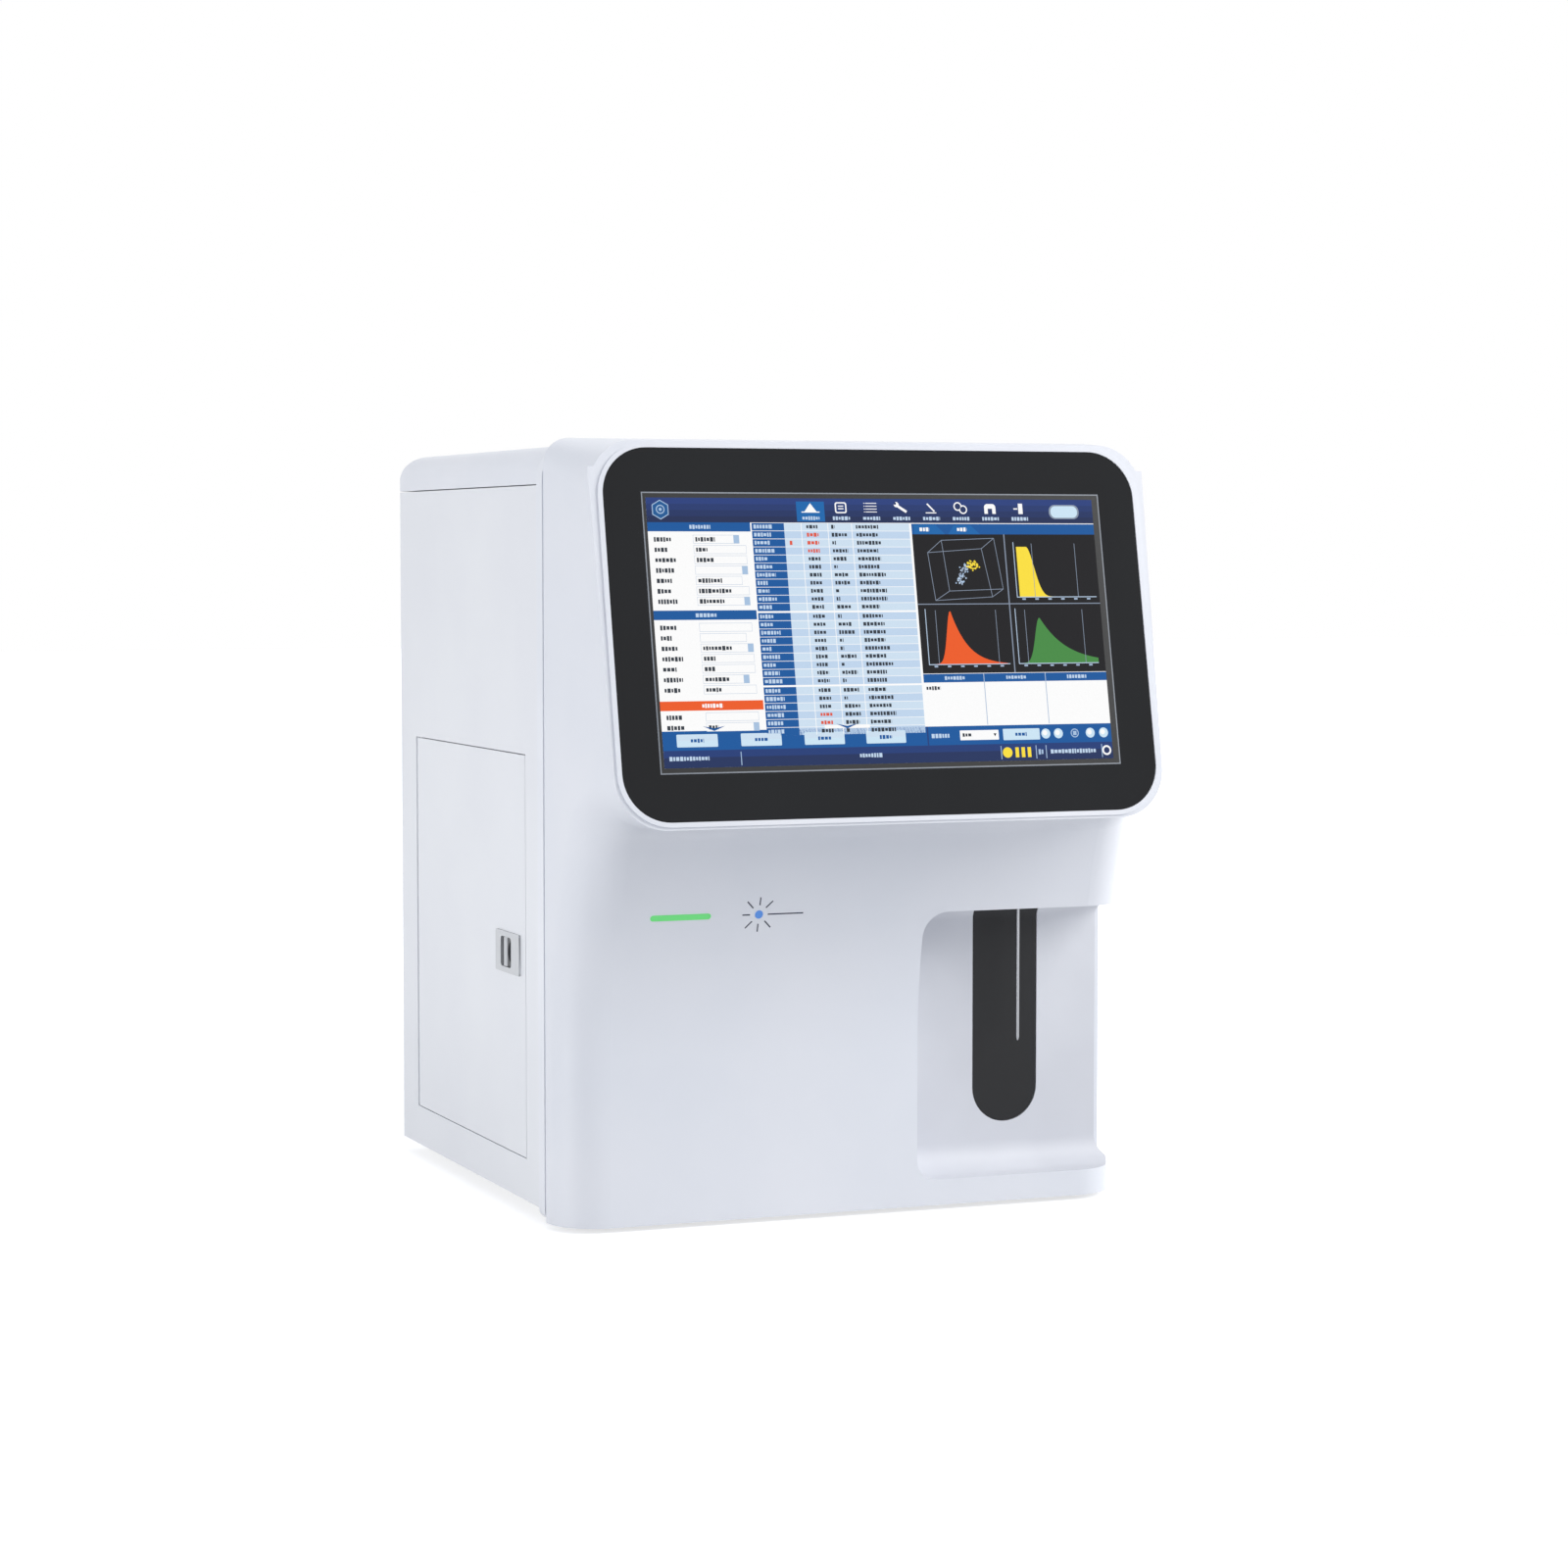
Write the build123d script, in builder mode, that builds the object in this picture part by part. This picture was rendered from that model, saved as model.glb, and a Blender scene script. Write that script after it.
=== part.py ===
from build123d import *
from math import asin, cos, degrees, radians, sin, sqrt
import os

# Bench-top blood cell analyser. Sizes are in millimetres.
# X runs to the viewer's right, Y to the rear and Z up from the bench. The origin is
# on the bench, midway between the screen's lower edge and the hose fittings behind.

os.makedirs("parts", exist_ok=True)

# Casing
cover_width = 350.0
cover_height = 443.5
cover_depth = 30.0
side_step = 2.5
body_depth = 330.5
body_floor = 5.3
top_step = 4.0
lid_height = 22.3
foot_clearance = 3.0
head_reach = 70.6
rear_reach = 14.0
wall = 3.0
seam_gap = 0.3
run_gap = 0.05
slide_gap = 0.3

# Screen
screen_tilt = 11.54
screen_border = 13.6
glass_height = 207.5
glass_corner = 27.0
glass_thick = 2.0
glass_inset = 0.6
rim_width = 3.0
rim_proud = 1.0
rim_step = 1.5
screen_margin = 3.82
display_border = 19.4
display_height = 166.0
display_thick = 8.0
display_rise = 22.0
bracket_thick = 1.5

# Cove between the base and the head
cove_rise = 131.83
cove_radius = 275.0
cove_top_radius = 18.0
base_corner = 28.0
seam_corner = 15.0
head_corner = 28.0
head_taper = 9.8

# Sample bay
bay_left = 41.5
bay_floor = 15.0
bay_height = 157.5
bay_depth = 26.0
bay_cove = 16.0
bay_roof_cove = 9.0
bay_top_corner = 14.6
bay_low_corner = 11.7
bay_end = 6.5

# Aspirate key and sample probe
key_from_side = 65.7
key_width = 41.0
key_low = 43.0
key_gap = 0.4
key_inset = 0.4
key_travel = 2.0
key_depth = 5.0
stem_radius = 3.0
probe_y = 8.5
probe_radius = 0.9
probe_low = 93.0
probe_length = 207.0

# Lamps on the front
lamp_height = 175.2
light_from_side = 48.2
light_length = 36.2
light_thick = 3.4
lamp_from_side = 113.4
lamp_radius = 2.4
lamp_proud = 0.2

# Side door and its latch
door_front = 73.6
door_width = 222.9
door_low = 30.3
door_height = 232.8
door_gap = 0.6
door_thick = 6.0
door_skin = 2.5
hinge_pin_radius = 1.5
hinge_pin_grip = 10.0
hinge_pin_reach = 7.0
latch_front = 83.1
latch_width = 44.7
latch_low = 134.5
latch_height = 24.0
latch_proud = 1.2
latch_depth = 15.0
pocket_from_front = 14.8
pocket_width = 20.0
pocket_height = 17.6
pocket_depth = 9.0
pocket_corner = 2.5
paddle_width = 10.0
paddle_scoop = 2.6
bolt_size = 6.0
bolt_travel = 3.5

# Chassis
frame_depth = 14.0
frame_bar = 12.0
sheet = 2.0
panel_thick = 3.0
top_round = 15.0

# Values worked out from the sizes above
total_depth = head_reach + body_depth + rear_reach
front_y = head_reach - total_depth / 2
seam_y = front_y + cover_depth
rear_y = front_y + body_depth
side_y = seam_y + frame_depth
floor_z = foot_clearance
body_width = cover_width - 2 * side_step
body_top = cover_height - top_step
parting_height = body_top - lid_height
base_z = floor_z + body_floor
deck_z = base_z + sheet
parting_z = floor_z + parting_height
panel_x = body_width / 2
inner_x = panel_x - panel_thick
tilt = radians(screen_tilt)
glass_width = cover_width - 2 * screen_border
display_width = glass_width - 2 * display_border
rim_w = glass_width + 2 * rim_width
rim_h = glass_height + 2 * rim_width
rim_y = front_y - head_reach
rim_z = floor_z + cover_height - screen_margin - rim_h * cos(tilt)
key_x = cover_width / 2 - key_from_side
light_left = light_from_side - cover_width / 2
lamp_x = lamp_from_side - cover_width / 2
taper = head_taper / (cover_depth + head_reach)
wall_y = front_y + bay_depth
bay_low_z = floor_z + bay_floor
bay_top_z = bay_low_z + bay_height
screen_plane = Plane(origin=(0, rim_y, rim_z), x_dir=(1, 0, 0), z_dir=(0, -cos(tilt), sin(tilt)))


def on_screen(up, out):
    """The side view's point this far up the screen's rim and out of it."""
    y = rim_y + up * sin(tilt) - out * cos(tilt)
    z = rim_z + up * cos(tilt) + out * sin(tilt)
    return (y, z)


rim_low = on_screen(-rim_step, -rim_proud)
cove_z = rim_low[1] - cove_rise


def box_between(low, high, mode=Mode.ADD):
    """A block between two corners, in the part being made."""
    middle = [(a + b) / 2 for a, b in zip(low, high)]
    size = [b - a for a, b in zip(low, high)]
    with Locations(tuple(middle)):
        Box(*size, mode=mode)


def rod(low, high_z, radius, mode=Mode.ADD):
    """An upright cylinder from a point to a height, in the part being made."""
    with Locations((low[0], low[1], (low[2] + high_z) / 2)):
        Cylinder(radius, high_z - low[2], mode=mode)


def save(builder, name):
    builder.part.label = name
    export_step(builder.part, f"parts/{name}.step")


def round_corner(sketch, point, radius):
    """Round the corner of the sketch being made that lies nearest to a point of its plane."""
    corner = sketch.vertices().sort_by_distance(Vector(point[0], point[1], 0))[0]
    fillet(corner, radius)


def corner_waste(corner, radius, way):
    """What a round top corner takes off, on the left (-1) or on the right (1)."""
    x, z = corner
    out = (way * (x + 1), z + 1)
    start = (way * (x - radius), z)
    end = (way * x, z - radius)
    bend = radius * (1 - sqrt(0.5))
    with BuildSketch() as waste:
        with BuildLine():
            ThreePointArc(start, (way * (x - bend), z - bend), end)
            Polyline(end, (out[0], end[1]), out, (start[0], out[1]), start)
        make_face()
    return waste.sketch


def cover_form(inset):
    """The front cover's outer form, or its hollow when it is inset by the wall."""
    back = seam_y + 2 * inset
    high = on_screen(rim_h + rim_step, -rim_proud)
    top_z = floor_z + cover_height
    back_z = top_z + (top_z - high[1]) * (back - seam_y) / (seam_y - high[0])
    cove_end = (front_y - cove_radius + sqrt(cove_radius**2 - cove_rise**2), rim_low[1])
    cove_angle = degrees(asin(cove_rise / cove_radius))
    half = cover_width / 2 - inset
    near_y = rim_y - 2 * wall
    with BuildPart() as form:
        with BuildSketch(Plane.YZ) as side_view:
            with BuildLine():
                Line((back, floor_z), (front_y, floor_z))
                Line((front_y, floor_z), (front_y, cove_z))
                CenterArc((front_y - cove_radius, cove_z), cove_radius, 0, cove_angle)
                Line(cove_end, rim_low)
                Line(rim_low, high)
                Line(high, (back, back_z))
                Line((back, back_z), (back, floor_z))
            make_face()
            round_corner(side_view, cove_end, cove_top_radius + inset)
            if inset:
                offset(amount=-inset)
        extrude(amount=cover_width, both=True)
        with BuildSketch(Plane.XY):
            with BuildLine():
                near = half - taper * (seam_y - near_y)
                far = half + taper * (back - seam_y)
                Polyline((-near, near_y), (near, near_y), (far, back), (-far, back), close=True)
            make_face()
        extrude(amount=2 * cover_height, mode=Mode.INTERSECT)
        low_z = rim_low[1] + inset
        sides = form.edges().filter_by(
            lambda e: abs(e.center().X) > cover_width / 4 and e.center().Y < seam_y - wall
        )
        front_edges = sides.filter_by(lambda e: floor_z + inset + 1 < e.center().Z < low_z + 1)
        fillet(front_edges, base_corner - inset)
        slope = (top_z - high[1]) / (seam_y - high[0])
        for way in (-1, 1):
            with BuildPart(mode=Mode.SUBTRACT):
                for y in (back + wall, high[0] - wall):
                    forward = seam_y - y
                    grow = (head_corner - seam_corner) * forward / (seam_y - high[0])
                    corner = (half - taper * forward, top_z - inset - slope * forward)
                    with BuildSketch(Plane.XZ.offset(-y)):
                        add(corner_waste(corner, seam_corner - inset + grow, way))
                loft(ruled=True)
    return form.part


def bay_form(grow):
    """The sample bay's hollow, grown by the wall when it is kept out of the cover's inside."""
    low_z = bay_low_z - grow
    top_z = bay_top_z + grow
    back_y = wall_y + grow
    left = bay_left - grow
    with BuildPart() as form:
        with BuildSketch(Plane.YZ.offset(left)) as side_view:
            with BuildLine():
                Polyline((rim_y, low_z), (back_y, low_z), (back_y, top_z), (rim_y, top_z), close=True)
            make_face()
            round_corner(side_view, (back_y, low_z), bay_cove)
            round_corner(side_view, (back_y, top_z), bay_roof_cove)
        extrude(amount=cover_width)
        with BuildSketch(Plane.XZ.offset(-back_y)) as front_view:
            with Locations((left + cover_width / 2, (low_z + top_z) / 2)):
                Rectangle(cover_width, top_z - low_z)
            round_corner(front_view, (left, low_z), bay_low_corner + grow)
            round_corner(front_view, (left, top_z), bay_top_corner + grow)
        extrude(amount=cover_width, mode=Mode.INTERSECT)
    return form.part


def key_outline(gap):
    """The key's outline seen from the front, with a gap round it for its opening."""
    radius = key_width / 2 + gap
    low = floor_z + key_low + key_width / 2
    with BuildSketch() as outline:
        with BuildLine():
            Line((key_x - radius, bay_top_z), (key_x - radius, low))
            ThreePointArc((key_x - radius, low), (key_x, low - radius), (key_x + radius, low))
            Line((key_x + radius, low), (key_x + radius, bay_top_z))
            Line((key_x + radius, bay_top_z), (key_x - radius, bay_top_z))
        make_face()
    return outline.sketch


outer_form = cover_form(0)
inner_form = cover_form(wall)
bay_hollow = bay_form(0)
bay_walls = bay_form(wall)

# Front cover: a moulded shell with the screen's rim, the cove under it and the sample bay
probe_x = key_x + 0.2
probe_place = (probe_x, front_y + probe_y)
screen_low = rim_width
display_centre = (0, screen_low + display_rise + display_height / 2)
glass_back = -(glass_inset + glass_thick)
boss_radius = 4.0
boss_reach = 8.0
boss_spread = 29.0
boss_low = 60.0
boss_rise = 90.0

with BuildPart() as front_cover:
    add(outer_form)
    add(inner_form - bay_walls, mode=Mode.SUBTRACT)
    add(bay_hollow, mode=Mode.SUBTRACT)
    with BuildSketch(Plane.XZ.offset(-seam_y)) as end_view:
        with Locations((cover_width / 2 - bay_end + bay_cove, (bay_low_z + bay_top_z) / 2)):
            Rectangle(2 * bay_cove, bay_height)
        round_corner(end_view, (cover_width / 2 - bay_end, bay_low_z), bay_cove)
        round_corner(end_view, (cover_width / 2 - bay_end, bay_top_z), bay_roof_cove)
    extrude(amount=cover_depth, mode=Mode.SUBTRACT)
    with BuildSketch(screen_plane.offset(-rim_proud)):
        with Locations((0, rim_h / 2)):
            RectangleRounded(rim_w, rim_h, glass_corner + rim_width)
    extrude(amount=rim_proud)
    with BuildSketch(screen_plane):
        with Locations((0, rim_h / 2)):
            RectangleRounded(glass_width + 2 * seam_gap, glass_height + 2 * seam_gap, glass_corner)
    extrude(amount=glass_back, mode=Mode.SUBTRACT)
    with BuildSketch(screen_plane):
        with Locations(display_centre):
            Rectangle(display_width + 2 * seam_gap, display_height + 2 * seam_gap)
    extrude(amount=glass_back - 2 * wall, mode=Mode.SUBTRACT)
    with BuildSketch(Plane.XZ.offset(-front_y)):
        with Locations((light_left + light_length / 2, floor_z + lamp_height)):
            SlotOverall(light_length, light_thick)
        with Locations((lamp_x, floor_z + lamp_height)):
            Circle(lamp_radius)
    extrude(amount=cover_depth, mode=Mode.SUBTRACT)
    with BuildSketch(Plane.XZ.offset(-seam_y)):
        add(key_outline(key_gap))
    extrude(amount=cover_depth, mode=Mode.SUBTRACT)
    rod((*probe_place, bay_top_z - 1), bay_top_z + wall + 1, 4 * probe_radius, Mode.SUBTRACT)
    with BuildSketch(Plane.XZ.offset(-(wall_y + wall + boss_reach))):
        with Locations((key_x, floor_z + boss_low + boss_rise / 2)):
            with GridLocations(2 * boss_spread, boss_rise, 2, 2):
                Circle(boss_radius)
    extrude(amount=boss_reach)
save(front_cover, "front_cover")

with BuildPart() as screen_glass:
    with BuildSketch(screen_plane.offset(-glass_inset)):
        with Locations((0, rim_h / 2)):
            RectangleRounded(glass_width, glass_height, glass_corner - seam_gap)
    extrude(amount=-glass_thick)
save(screen_glass, "screen_glass")

with BuildPart() as lcd_panel:
    with BuildSketch(screen_plane.offset(glass_back)):
        with Locations(display_centre):
            Rectangle(display_width, display_height)
    extrude(amount=-display_thick)
save(lcd_panel, "lcd_panel")

# The bracket stands on four posts on the cover's inner face and holds the display
display_back = glass_back - display_thick
post_spread = display_width + 4 * boss_radius
with BuildPart() as screen_bracket:
    with BuildSketch(screen_plane.offset(display_back)):
        with Locations(display_centre):
            Rectangle(post_spread + 2 * boss_radius, display_height)
            Rectangle(display_width / 2, display_height / 2, mode=Mode.SUBTRACT)
    extrude(amount=-bracket_thick)
    with BuildSketch(screen_plane.offset(display_back)):
        with Locations(display_centre):
            with GridLocations(post_spread, display_height - 4 * boss_radius, 2, 2):
                Circle(boss_radius)
    extrude(amount=-display_back - rim_proud - wall)
save(screen_bracket, "screen_bracket")

# Lamps: clear bars through the cover, with fronts that follow the cove
lamp_skin = outer_form.moved(Location((0, -lamp_proud, 0)))
with BuildPart() as status_light:
    with BuildSketch(Plane.XZ.offset(-front_y)):
        with Locations((light_left + light_length / 2, floor_z + lamp_height)):
            SlotOverall(light_length, light_thick)
    extrude(amount=cover_depth)
    add(lamp_skin, mode=Mode.INTERSECT)
save(status_light, "status_light")

with BuildPart() as ready_lamp:
    with BuildSketch(Plane.XZ.offset(-front_y)):
        with Locations((lamp_x, floor_z + lamp_height)):
            Circle(lamp_radius)
    extrude(amount=cover_depth)
    add(lamp_skin, mode=Mode.INTERSECT)
save(ready_lamp, "ready_lamp")

# Chassis frame behind the cover, seen as the thin band at the seam
frame_half = cover_width / 2 - 0.4
frame_step = 2.4
groove = 3.5
frame_low = floor_z + 0.3
frame_top = floor_z + body_top - 0.5
frame_low_corner = 6.0
frame_top_corner = 18.0
crossbar_rise = 5.5
crossbar_z = bay_top_z + crossbar_rise


def frame_outline(inset):
    """The frame's outline seen from the front."""
    with BuildSketch() as outline:
        with Locations((0, (frame_low + frame_top) / 2)):
            Rectangle(2 * (frame_half - inset), frame_top - frame_low - 2 * inset)
        corners = outline.vertices().group_by(Axis.Y)
        fillet(corners[0], frame_low_corner)
        top_corners = outline.vertices().group_by(Axis.Y)[-1]
        fillet(top_corners, frame_top_corner)
    return outline.sketch


with BuildPart() as seam_frame:
    with BuildSketch(Plane.XZ.offset(-side_y)):
        add(frame_outline(0))
    extrude(amount=frame_depth - groove)
    with BuildSketch(Plane.XZ.offset(-(seam_y + groove))):
        add(frame_outline(frame_step))
    extrude(amount=groove)
    for window_low, window_top in (
        (frame_low + frame_bar, crossbar_z),
        (crossbar_z + frame_bar, frame_top - frame_bar),
    ):
        box_between(
            (frame_bar - frame_half, seam_y, window_low),
            (frame_half - frame_bar, side_y, window_top),
            Mode.SUBTRACT,
        )
save(seam_frame, "seam_frame")

# Side door: a moulded leaf that turns on two pins in its round rear edge
door_y = front_y + door_front
door_back = door_y + door_width
door_z = floor_z + door_low
door_top = door_z + door_height
hinge_x = -panel_x + door_thick / 2
hinge_y = door_back - door_thick / 2
latch_y = front_y + latch_front
latch_z = floor_z + latch_low
latch_mid_z = latch_z + latch_height / 2
latch_body_inset = 3.0
cup_y = latch_y + latch_body_inset
cup_width = latch_width - 2 * latch_body_inset
cup_height = latch_height - latch_body_inset
lip = door_thick

with BuildPart() as side_door:
    with BuildSketch(Plane.XY.offset(door_z)):
        with BuildLine():
            Line((-panel_x, hinge_y), (-panel_x, door_y))
            Line((-panel_x, door_y), (-panel_x + door_thick, door_y))
            Line((-panel_x + door_thick, door_y), (-panel_x + door_thick, hinge_y))
            ThreePointArc((-panel_x + door_thick, hinge_y), (hinge_x, door_back), (-panel_x, hinge_y))
        make_face()
    extrude(amount=door_height)
    box_between(
        (-panel_x + door_skin, door_y + lip, door_z + lip),
        (-panel_x + door_thick, hinge_y - lip, door_top - lip),
        Mode.SUBTRACT,
    )
    box_between(
        (-panel_x, cup_y, latch_mid_z - cup_height / 2),
        (-panel_x + door_thick, cup_y + cup_width, latch_mid_z + cup_height / 2),
        Mode.SUBTRACT,
    )
    box_between(
        (hinge_x - bolt_size / 2 + 2, door_y, latch_mid_z - bolt_size / 2 - seam_gap),
        (-panel_x + door_thick, cup_y, latch_mid_z + bolt_size / 2 + seam_gap),
        Mode.SUBTRACT,
    )
    for pin_z, way in ((door_z, 1), (door_top, -1)):
        pin_end = pin_z + way * hinge_pin_grip
        rod((hinge_x, hinge_y, min(pin_z, pin_end)), max(pin_z, pin_end), hinge_pin_radius, Mode.SUBTRACT)
save(side_door, "side_door")

with BuildPart() as door_hinge_pins:
    rod((hinge_x, hinge_y, door_z - hinge_pin_reach), door_z + hinge_pin_grip, hinge_pin_radius)
    rod((hinge_x, hinge_y, door_top - hinge_pin_grip), door_top + hinge_pin_reach, hinge_pin_radius)
save(door_hinge_pins, "door_hinge_pins")

# Latch: a plate and cup in the door, a hinged pull paddle and the bolt that it draws back
plate_out = -panel_x - latch_proud
cup_back = -panel_x + latch_depth
pocket_y = latch_y + pocket_from_front
pocket_mid = pocket_y + pocket_width / 2
pocket_back = -panel_x + pocket_depth
paddle_pivot_x = -panel_x + 3.0
paddle_pivot_y = pocket_y + pocket_width - 3.5
trunnion_radius = 1.2
trunnion_reach = 1.5
channel_y = cup_y
bolt_guide = 7.5
channel_end = channel_y + bolt_guide + bolt_travel
bolt_low_x = hinge_x - bolt_size / 2 + 2 + seam_gap
bolt_high_x = bolt_low_x + bolt_size

with BuildPart() as latch_plate:
    with BuildSketch(Plane.YZ.offset(plate_out)):
        with Locations((latch_y + latch_width / 2, latch_mid_z)):
            RectangleRounded(latch_width, latch_height, 1.5)
    extrude(amount=latch_proud)
    box_between(
        (-panel_x, cup_y, latch_mid_z - cup_height / 2),
        (cup_back, cup_y + cup_width, latch_mid_z + cup_height / 2),
    )
    with BuildSketch(Plane.YZ.offset(plate_out)):
        with Locations((pocket_mid, latch_mid_z)):
            RectangleRounded(pocket_width, pocket_height, pocket_corner)
    extrude(amount=pocket_back - plate_out, mode=Mode.SUBTRACT)
    for way in (-1, 1):
        wall_z = latch_mid_z + way * pocket_height / 2
        far_z = wall_z + way * (trunnion_reach - 0.1)
        rod(
            (paddle_pivot_x, paddle_pivot_y, min(wall_z, far_z)),
            max(wall_z, far_z),
            trunnion_radius + run_gap,
            Mode.SUBTRACT,
        )
    box_between(
        (bolt_low_x - seam_gap, channel_y, latch_mid_z - bolt_size / 2 - seam_gap),
        (bolt_high_x + seam_gap, channel_end, latch_mid_z + bolt_size / 2 + seam_gap),
        Mode.SUBTRACT,
    )
save(latch_plate, "latch_plate")

paddle_half = pocket_height / 2 - seam_gap
near_y = paddle_pivot_y - paddle_width
scoop_radius = (paddle_half**2 + paddle_scoop**2) / (2 * paddle_scoop)
with BuildPart() as latch_paddle:
    with BuildSketch(Plane.XY.offset(latch_mid_z - paddle_half)):
        with BuildLine():
            Line((paddle_pivot_x, paddle_pivot_y + 1), (paddle_pivot_x - 2, paddle_pivot_y + 1))
            ThreePointArc(
                (paddle_pivot_x - 2, paddle_pivot_y + 1),
                (plate_out + 0.2, paddle_pivot_y - paddle_width / 2),
                (paddle_pivot_x, near_y),
            )
            ThreePointArc(
                (paddle_pivot_x, near_y),
                (paddle_pivot_x + 0.4, paddle_pivot_y - paddle_width / 2),
                (paddle_pivot_x + 1.8, paddle_pivot_y),
            )
            Line((paddle_pivot_x + 1.8, paddle_pivot_y), (paddle_pivot_x, paddle_pivot_y + 1))
        make_face()
    extrude(amount=2 * paddle_half)
    with BuildSketch(Plane.YZ.offset(plate_out)):
        with Locations((near_y + paddle_scoop - scoop_radius, latch_mid_z)):
            Circle(scoop_radius)
    extrude(amount=latch_depth, mode=Mode.SUBTRACT)
    rod(
        (paddle_pivot_x, paddle_pivot_y, latch_mid_z - paddle_half - trunnion_reach),
        latch_mid_z + paddle_half + trunnion_reach,
        trunnion_radius,
    )
save(latch_paddle, "latch_paddle")

bolt_nose = door_y + 0.3
with BuildPart() as latch_bolt:
    box_between(
        (bolt_low_x, bolt_nose, latch_mid_z - bolt_size / 2),
        (bolt_high_x, channel_end - bolt_travel - seam_gap, latch_mid_z + bolt_size / 2),
    )
    nose = latch_bolt.edges().filter_by(Axis.Z).group_by(Axis.Y)[0].sort_by(Axis.X)[-1]
    fillet(nose, bolt_size / 3)
save(latch_bolt, "latch_bolt")

# Aspirate key: its front follows the bay's back wall and the curve under the roof
key_flange = 2.0
stem_low = 75.0
stem_rise = 60.0
bracket_y = wall_y + wall + boss_reach
bracket_plate = 2.0
with BuildPart() as aspirate_key:
    with BuildSketch(Plane.XZ.offset(-(wall_y + key_depth))):
        add(key_outline(0))
    extrude(amount=key_depth + 2 * bay_roof_cove)
    add(bay_hollow.moved(Location((0, key_inset, 0))), mode=Mode.SUBTRACT)
    box_between(
        (key_x - key_width, rim_y, bay_top_z - seam_gap),
        (key_x + key_width, seam_y + frame_depth, bay_top_z + wall),
        Mode.SUBTRACT,
    )
    with BuildSketch(Plane.XZ.offset(-(wall_y + key_depth))):
        add(key_outline(key_flange))
    extrude(amount=key_depth - wall - seam_gap)
    box_between(
        (key_x - key_width, wall_y, bay_top_z - key_flange),
        (key_x + key_width, seam_y + frame_depth, bay_top_z + wall),
        Mode.SUBTRACT,
    )
    with BuildSketch(Plane.XZ.offset(-(bracket_y + 3 * bracket_plate))):
        with Locations((key_x, floor_z + stem_low + stem_rise / 2)):
            with GridLocations(stem_rise, stem_rise, 1, 2):
                Circle(stem_radius)
    extrude(amount=bracket_y + 3 * bracket_plate - wall_y - key_depth)
save(aspirate_key, "aspirate_key")

with BuildPart() as key_bracket:
    with BuildSketch(Plane.XZ.offset(-(bracket_y + bracket_plate))):
        with Locations((key_x, floor_z + boss_low + boss_rise / 2)):
            RectangleRounded(2 * (boss_spread + 2 * boss_radius), boss_rise + 4 * boss_radius, boss_radius)
        with Locations((key_x, floor_z + stem_low + stem_rise / 2)):
            with GridLocations(stem_rise, stem_rise, 1, 2):
                Circle(stem_radius + run_gap, mode=Mode.SUBTRACT)
            Circle(stem_radius, mode=Mode.SUBTRACT)
    extrude(amount=bracket_plate)
save(key_bracket, "key_bracket")

# The switch behind the key, with its plunger through the bracket
switch_size = (12.0, 10.0, 20.0)
key_middle_z = floor_z + stem_low + stem_rise / 2
plunger_reach = bracket_y - wall_y - key_depth - key_travel - seam_gap
with BuildPart() as key_switch:
    switch_front = bracket_y + bracket_plate
    box_between(
        (key_x - switch_size[0] / 2, switch_front, key_middle_z - switch_size[2] / 2),
        (key_x + switch_size[0] / 2, switch_front + switch_size[1], key_middle_z + switch_size[2] / 2),
    )
    fillet(key_switch.edges().filter_by(Axis.Y), 1.0)
    with BuildSketch(Plane.XZ.offset(-switch_front)):
        with Locations((key_x, key_middle_z)):
            Circle(stem_radius / 2)
    extrude(amount=bracket_plate + plunger_reach)
save(key_switch, "key_switch")

# Sample probe lift: an upright on the frame's crossbar, with a rail, a screw and a motor
crossbar_top = crossbar_z + frame_bar
rail_width = 8.0
rail_thick = 6.0
upright_y = side_y
upright_thick = 3.0
upright_half = 26.0
motor_size = 35.0
motor_height = 26.0
screw_radius = 3.0
screw_x = probe_x + 16.0
screw_y = side_y - 7.0
bearing_z = crossbar_top + 3.0
bearing_thick = 3.0
shelf_z = frame_top - frame_bar - sheet - motor_height
carriage_height = 38.0
carriage_thick = 12.0
arm_height = 12.0
arm_half = 5.0
probe_z = floor_z + probe_low
probe_top = probe_z + probe_length
carriage_low = probe_top - carriage_height
lift_x = (probe_x + screw_x) / 2

with BuildPart() as probe_bracket:
    box_between(
        (lift_x - upright_half, upright_y, crossbar_z),
        (lift_x + upright_half, upright_y + upright_thick, shelf_z + sheet),
    )
    box_between(
        (lift_x - upright_half, screw_y - motor_size / 2, shelf_z),
        (lift_x + upright_half, upright_y, shelf_z + sheet),
    )
    box_between(
        (screw_x - 2 * screw_radius, screw_y - 2 * screw_radius, bearing_z),
        (screw_x + 2 * screw_radius, upright_y, bearing_z + bearing_thick),
    )
    for low, high in ((bearing_z, bearing_z + bearing_thick), (shelf_z, shelf_z + sheet)):
        rod((screw_x, screw_y, low), high, screw_radius + run_gap, Mode.SUBTRACT)
save(probe_bracket, "probe_bracket")

with BuildPart() as guide_rail:
    box_between(
        (probe_x - rail_width / 2, upright_y - rail_thick, crossbar_top + sheet),
        (probe_x + rail_width / 2, upright_y, shelf_z - sheet),
    )
    grooves = guide_rail.faces().filter_by(Axis.X)
    for face in grooves:
        way = 1 if face.center().X > probe_x else -1
        box_between(
            (min(face.center().X, face.center().X - way * 1.2), upright_y - 4.0, crossbar_top),
            (max(face.center().X, face.center().X - way * 1.2), upright_y - 2.5, shelf_z),
            Mode.SUBTRACT,
        )
save(guide_rail, "guide_rail")

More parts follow.
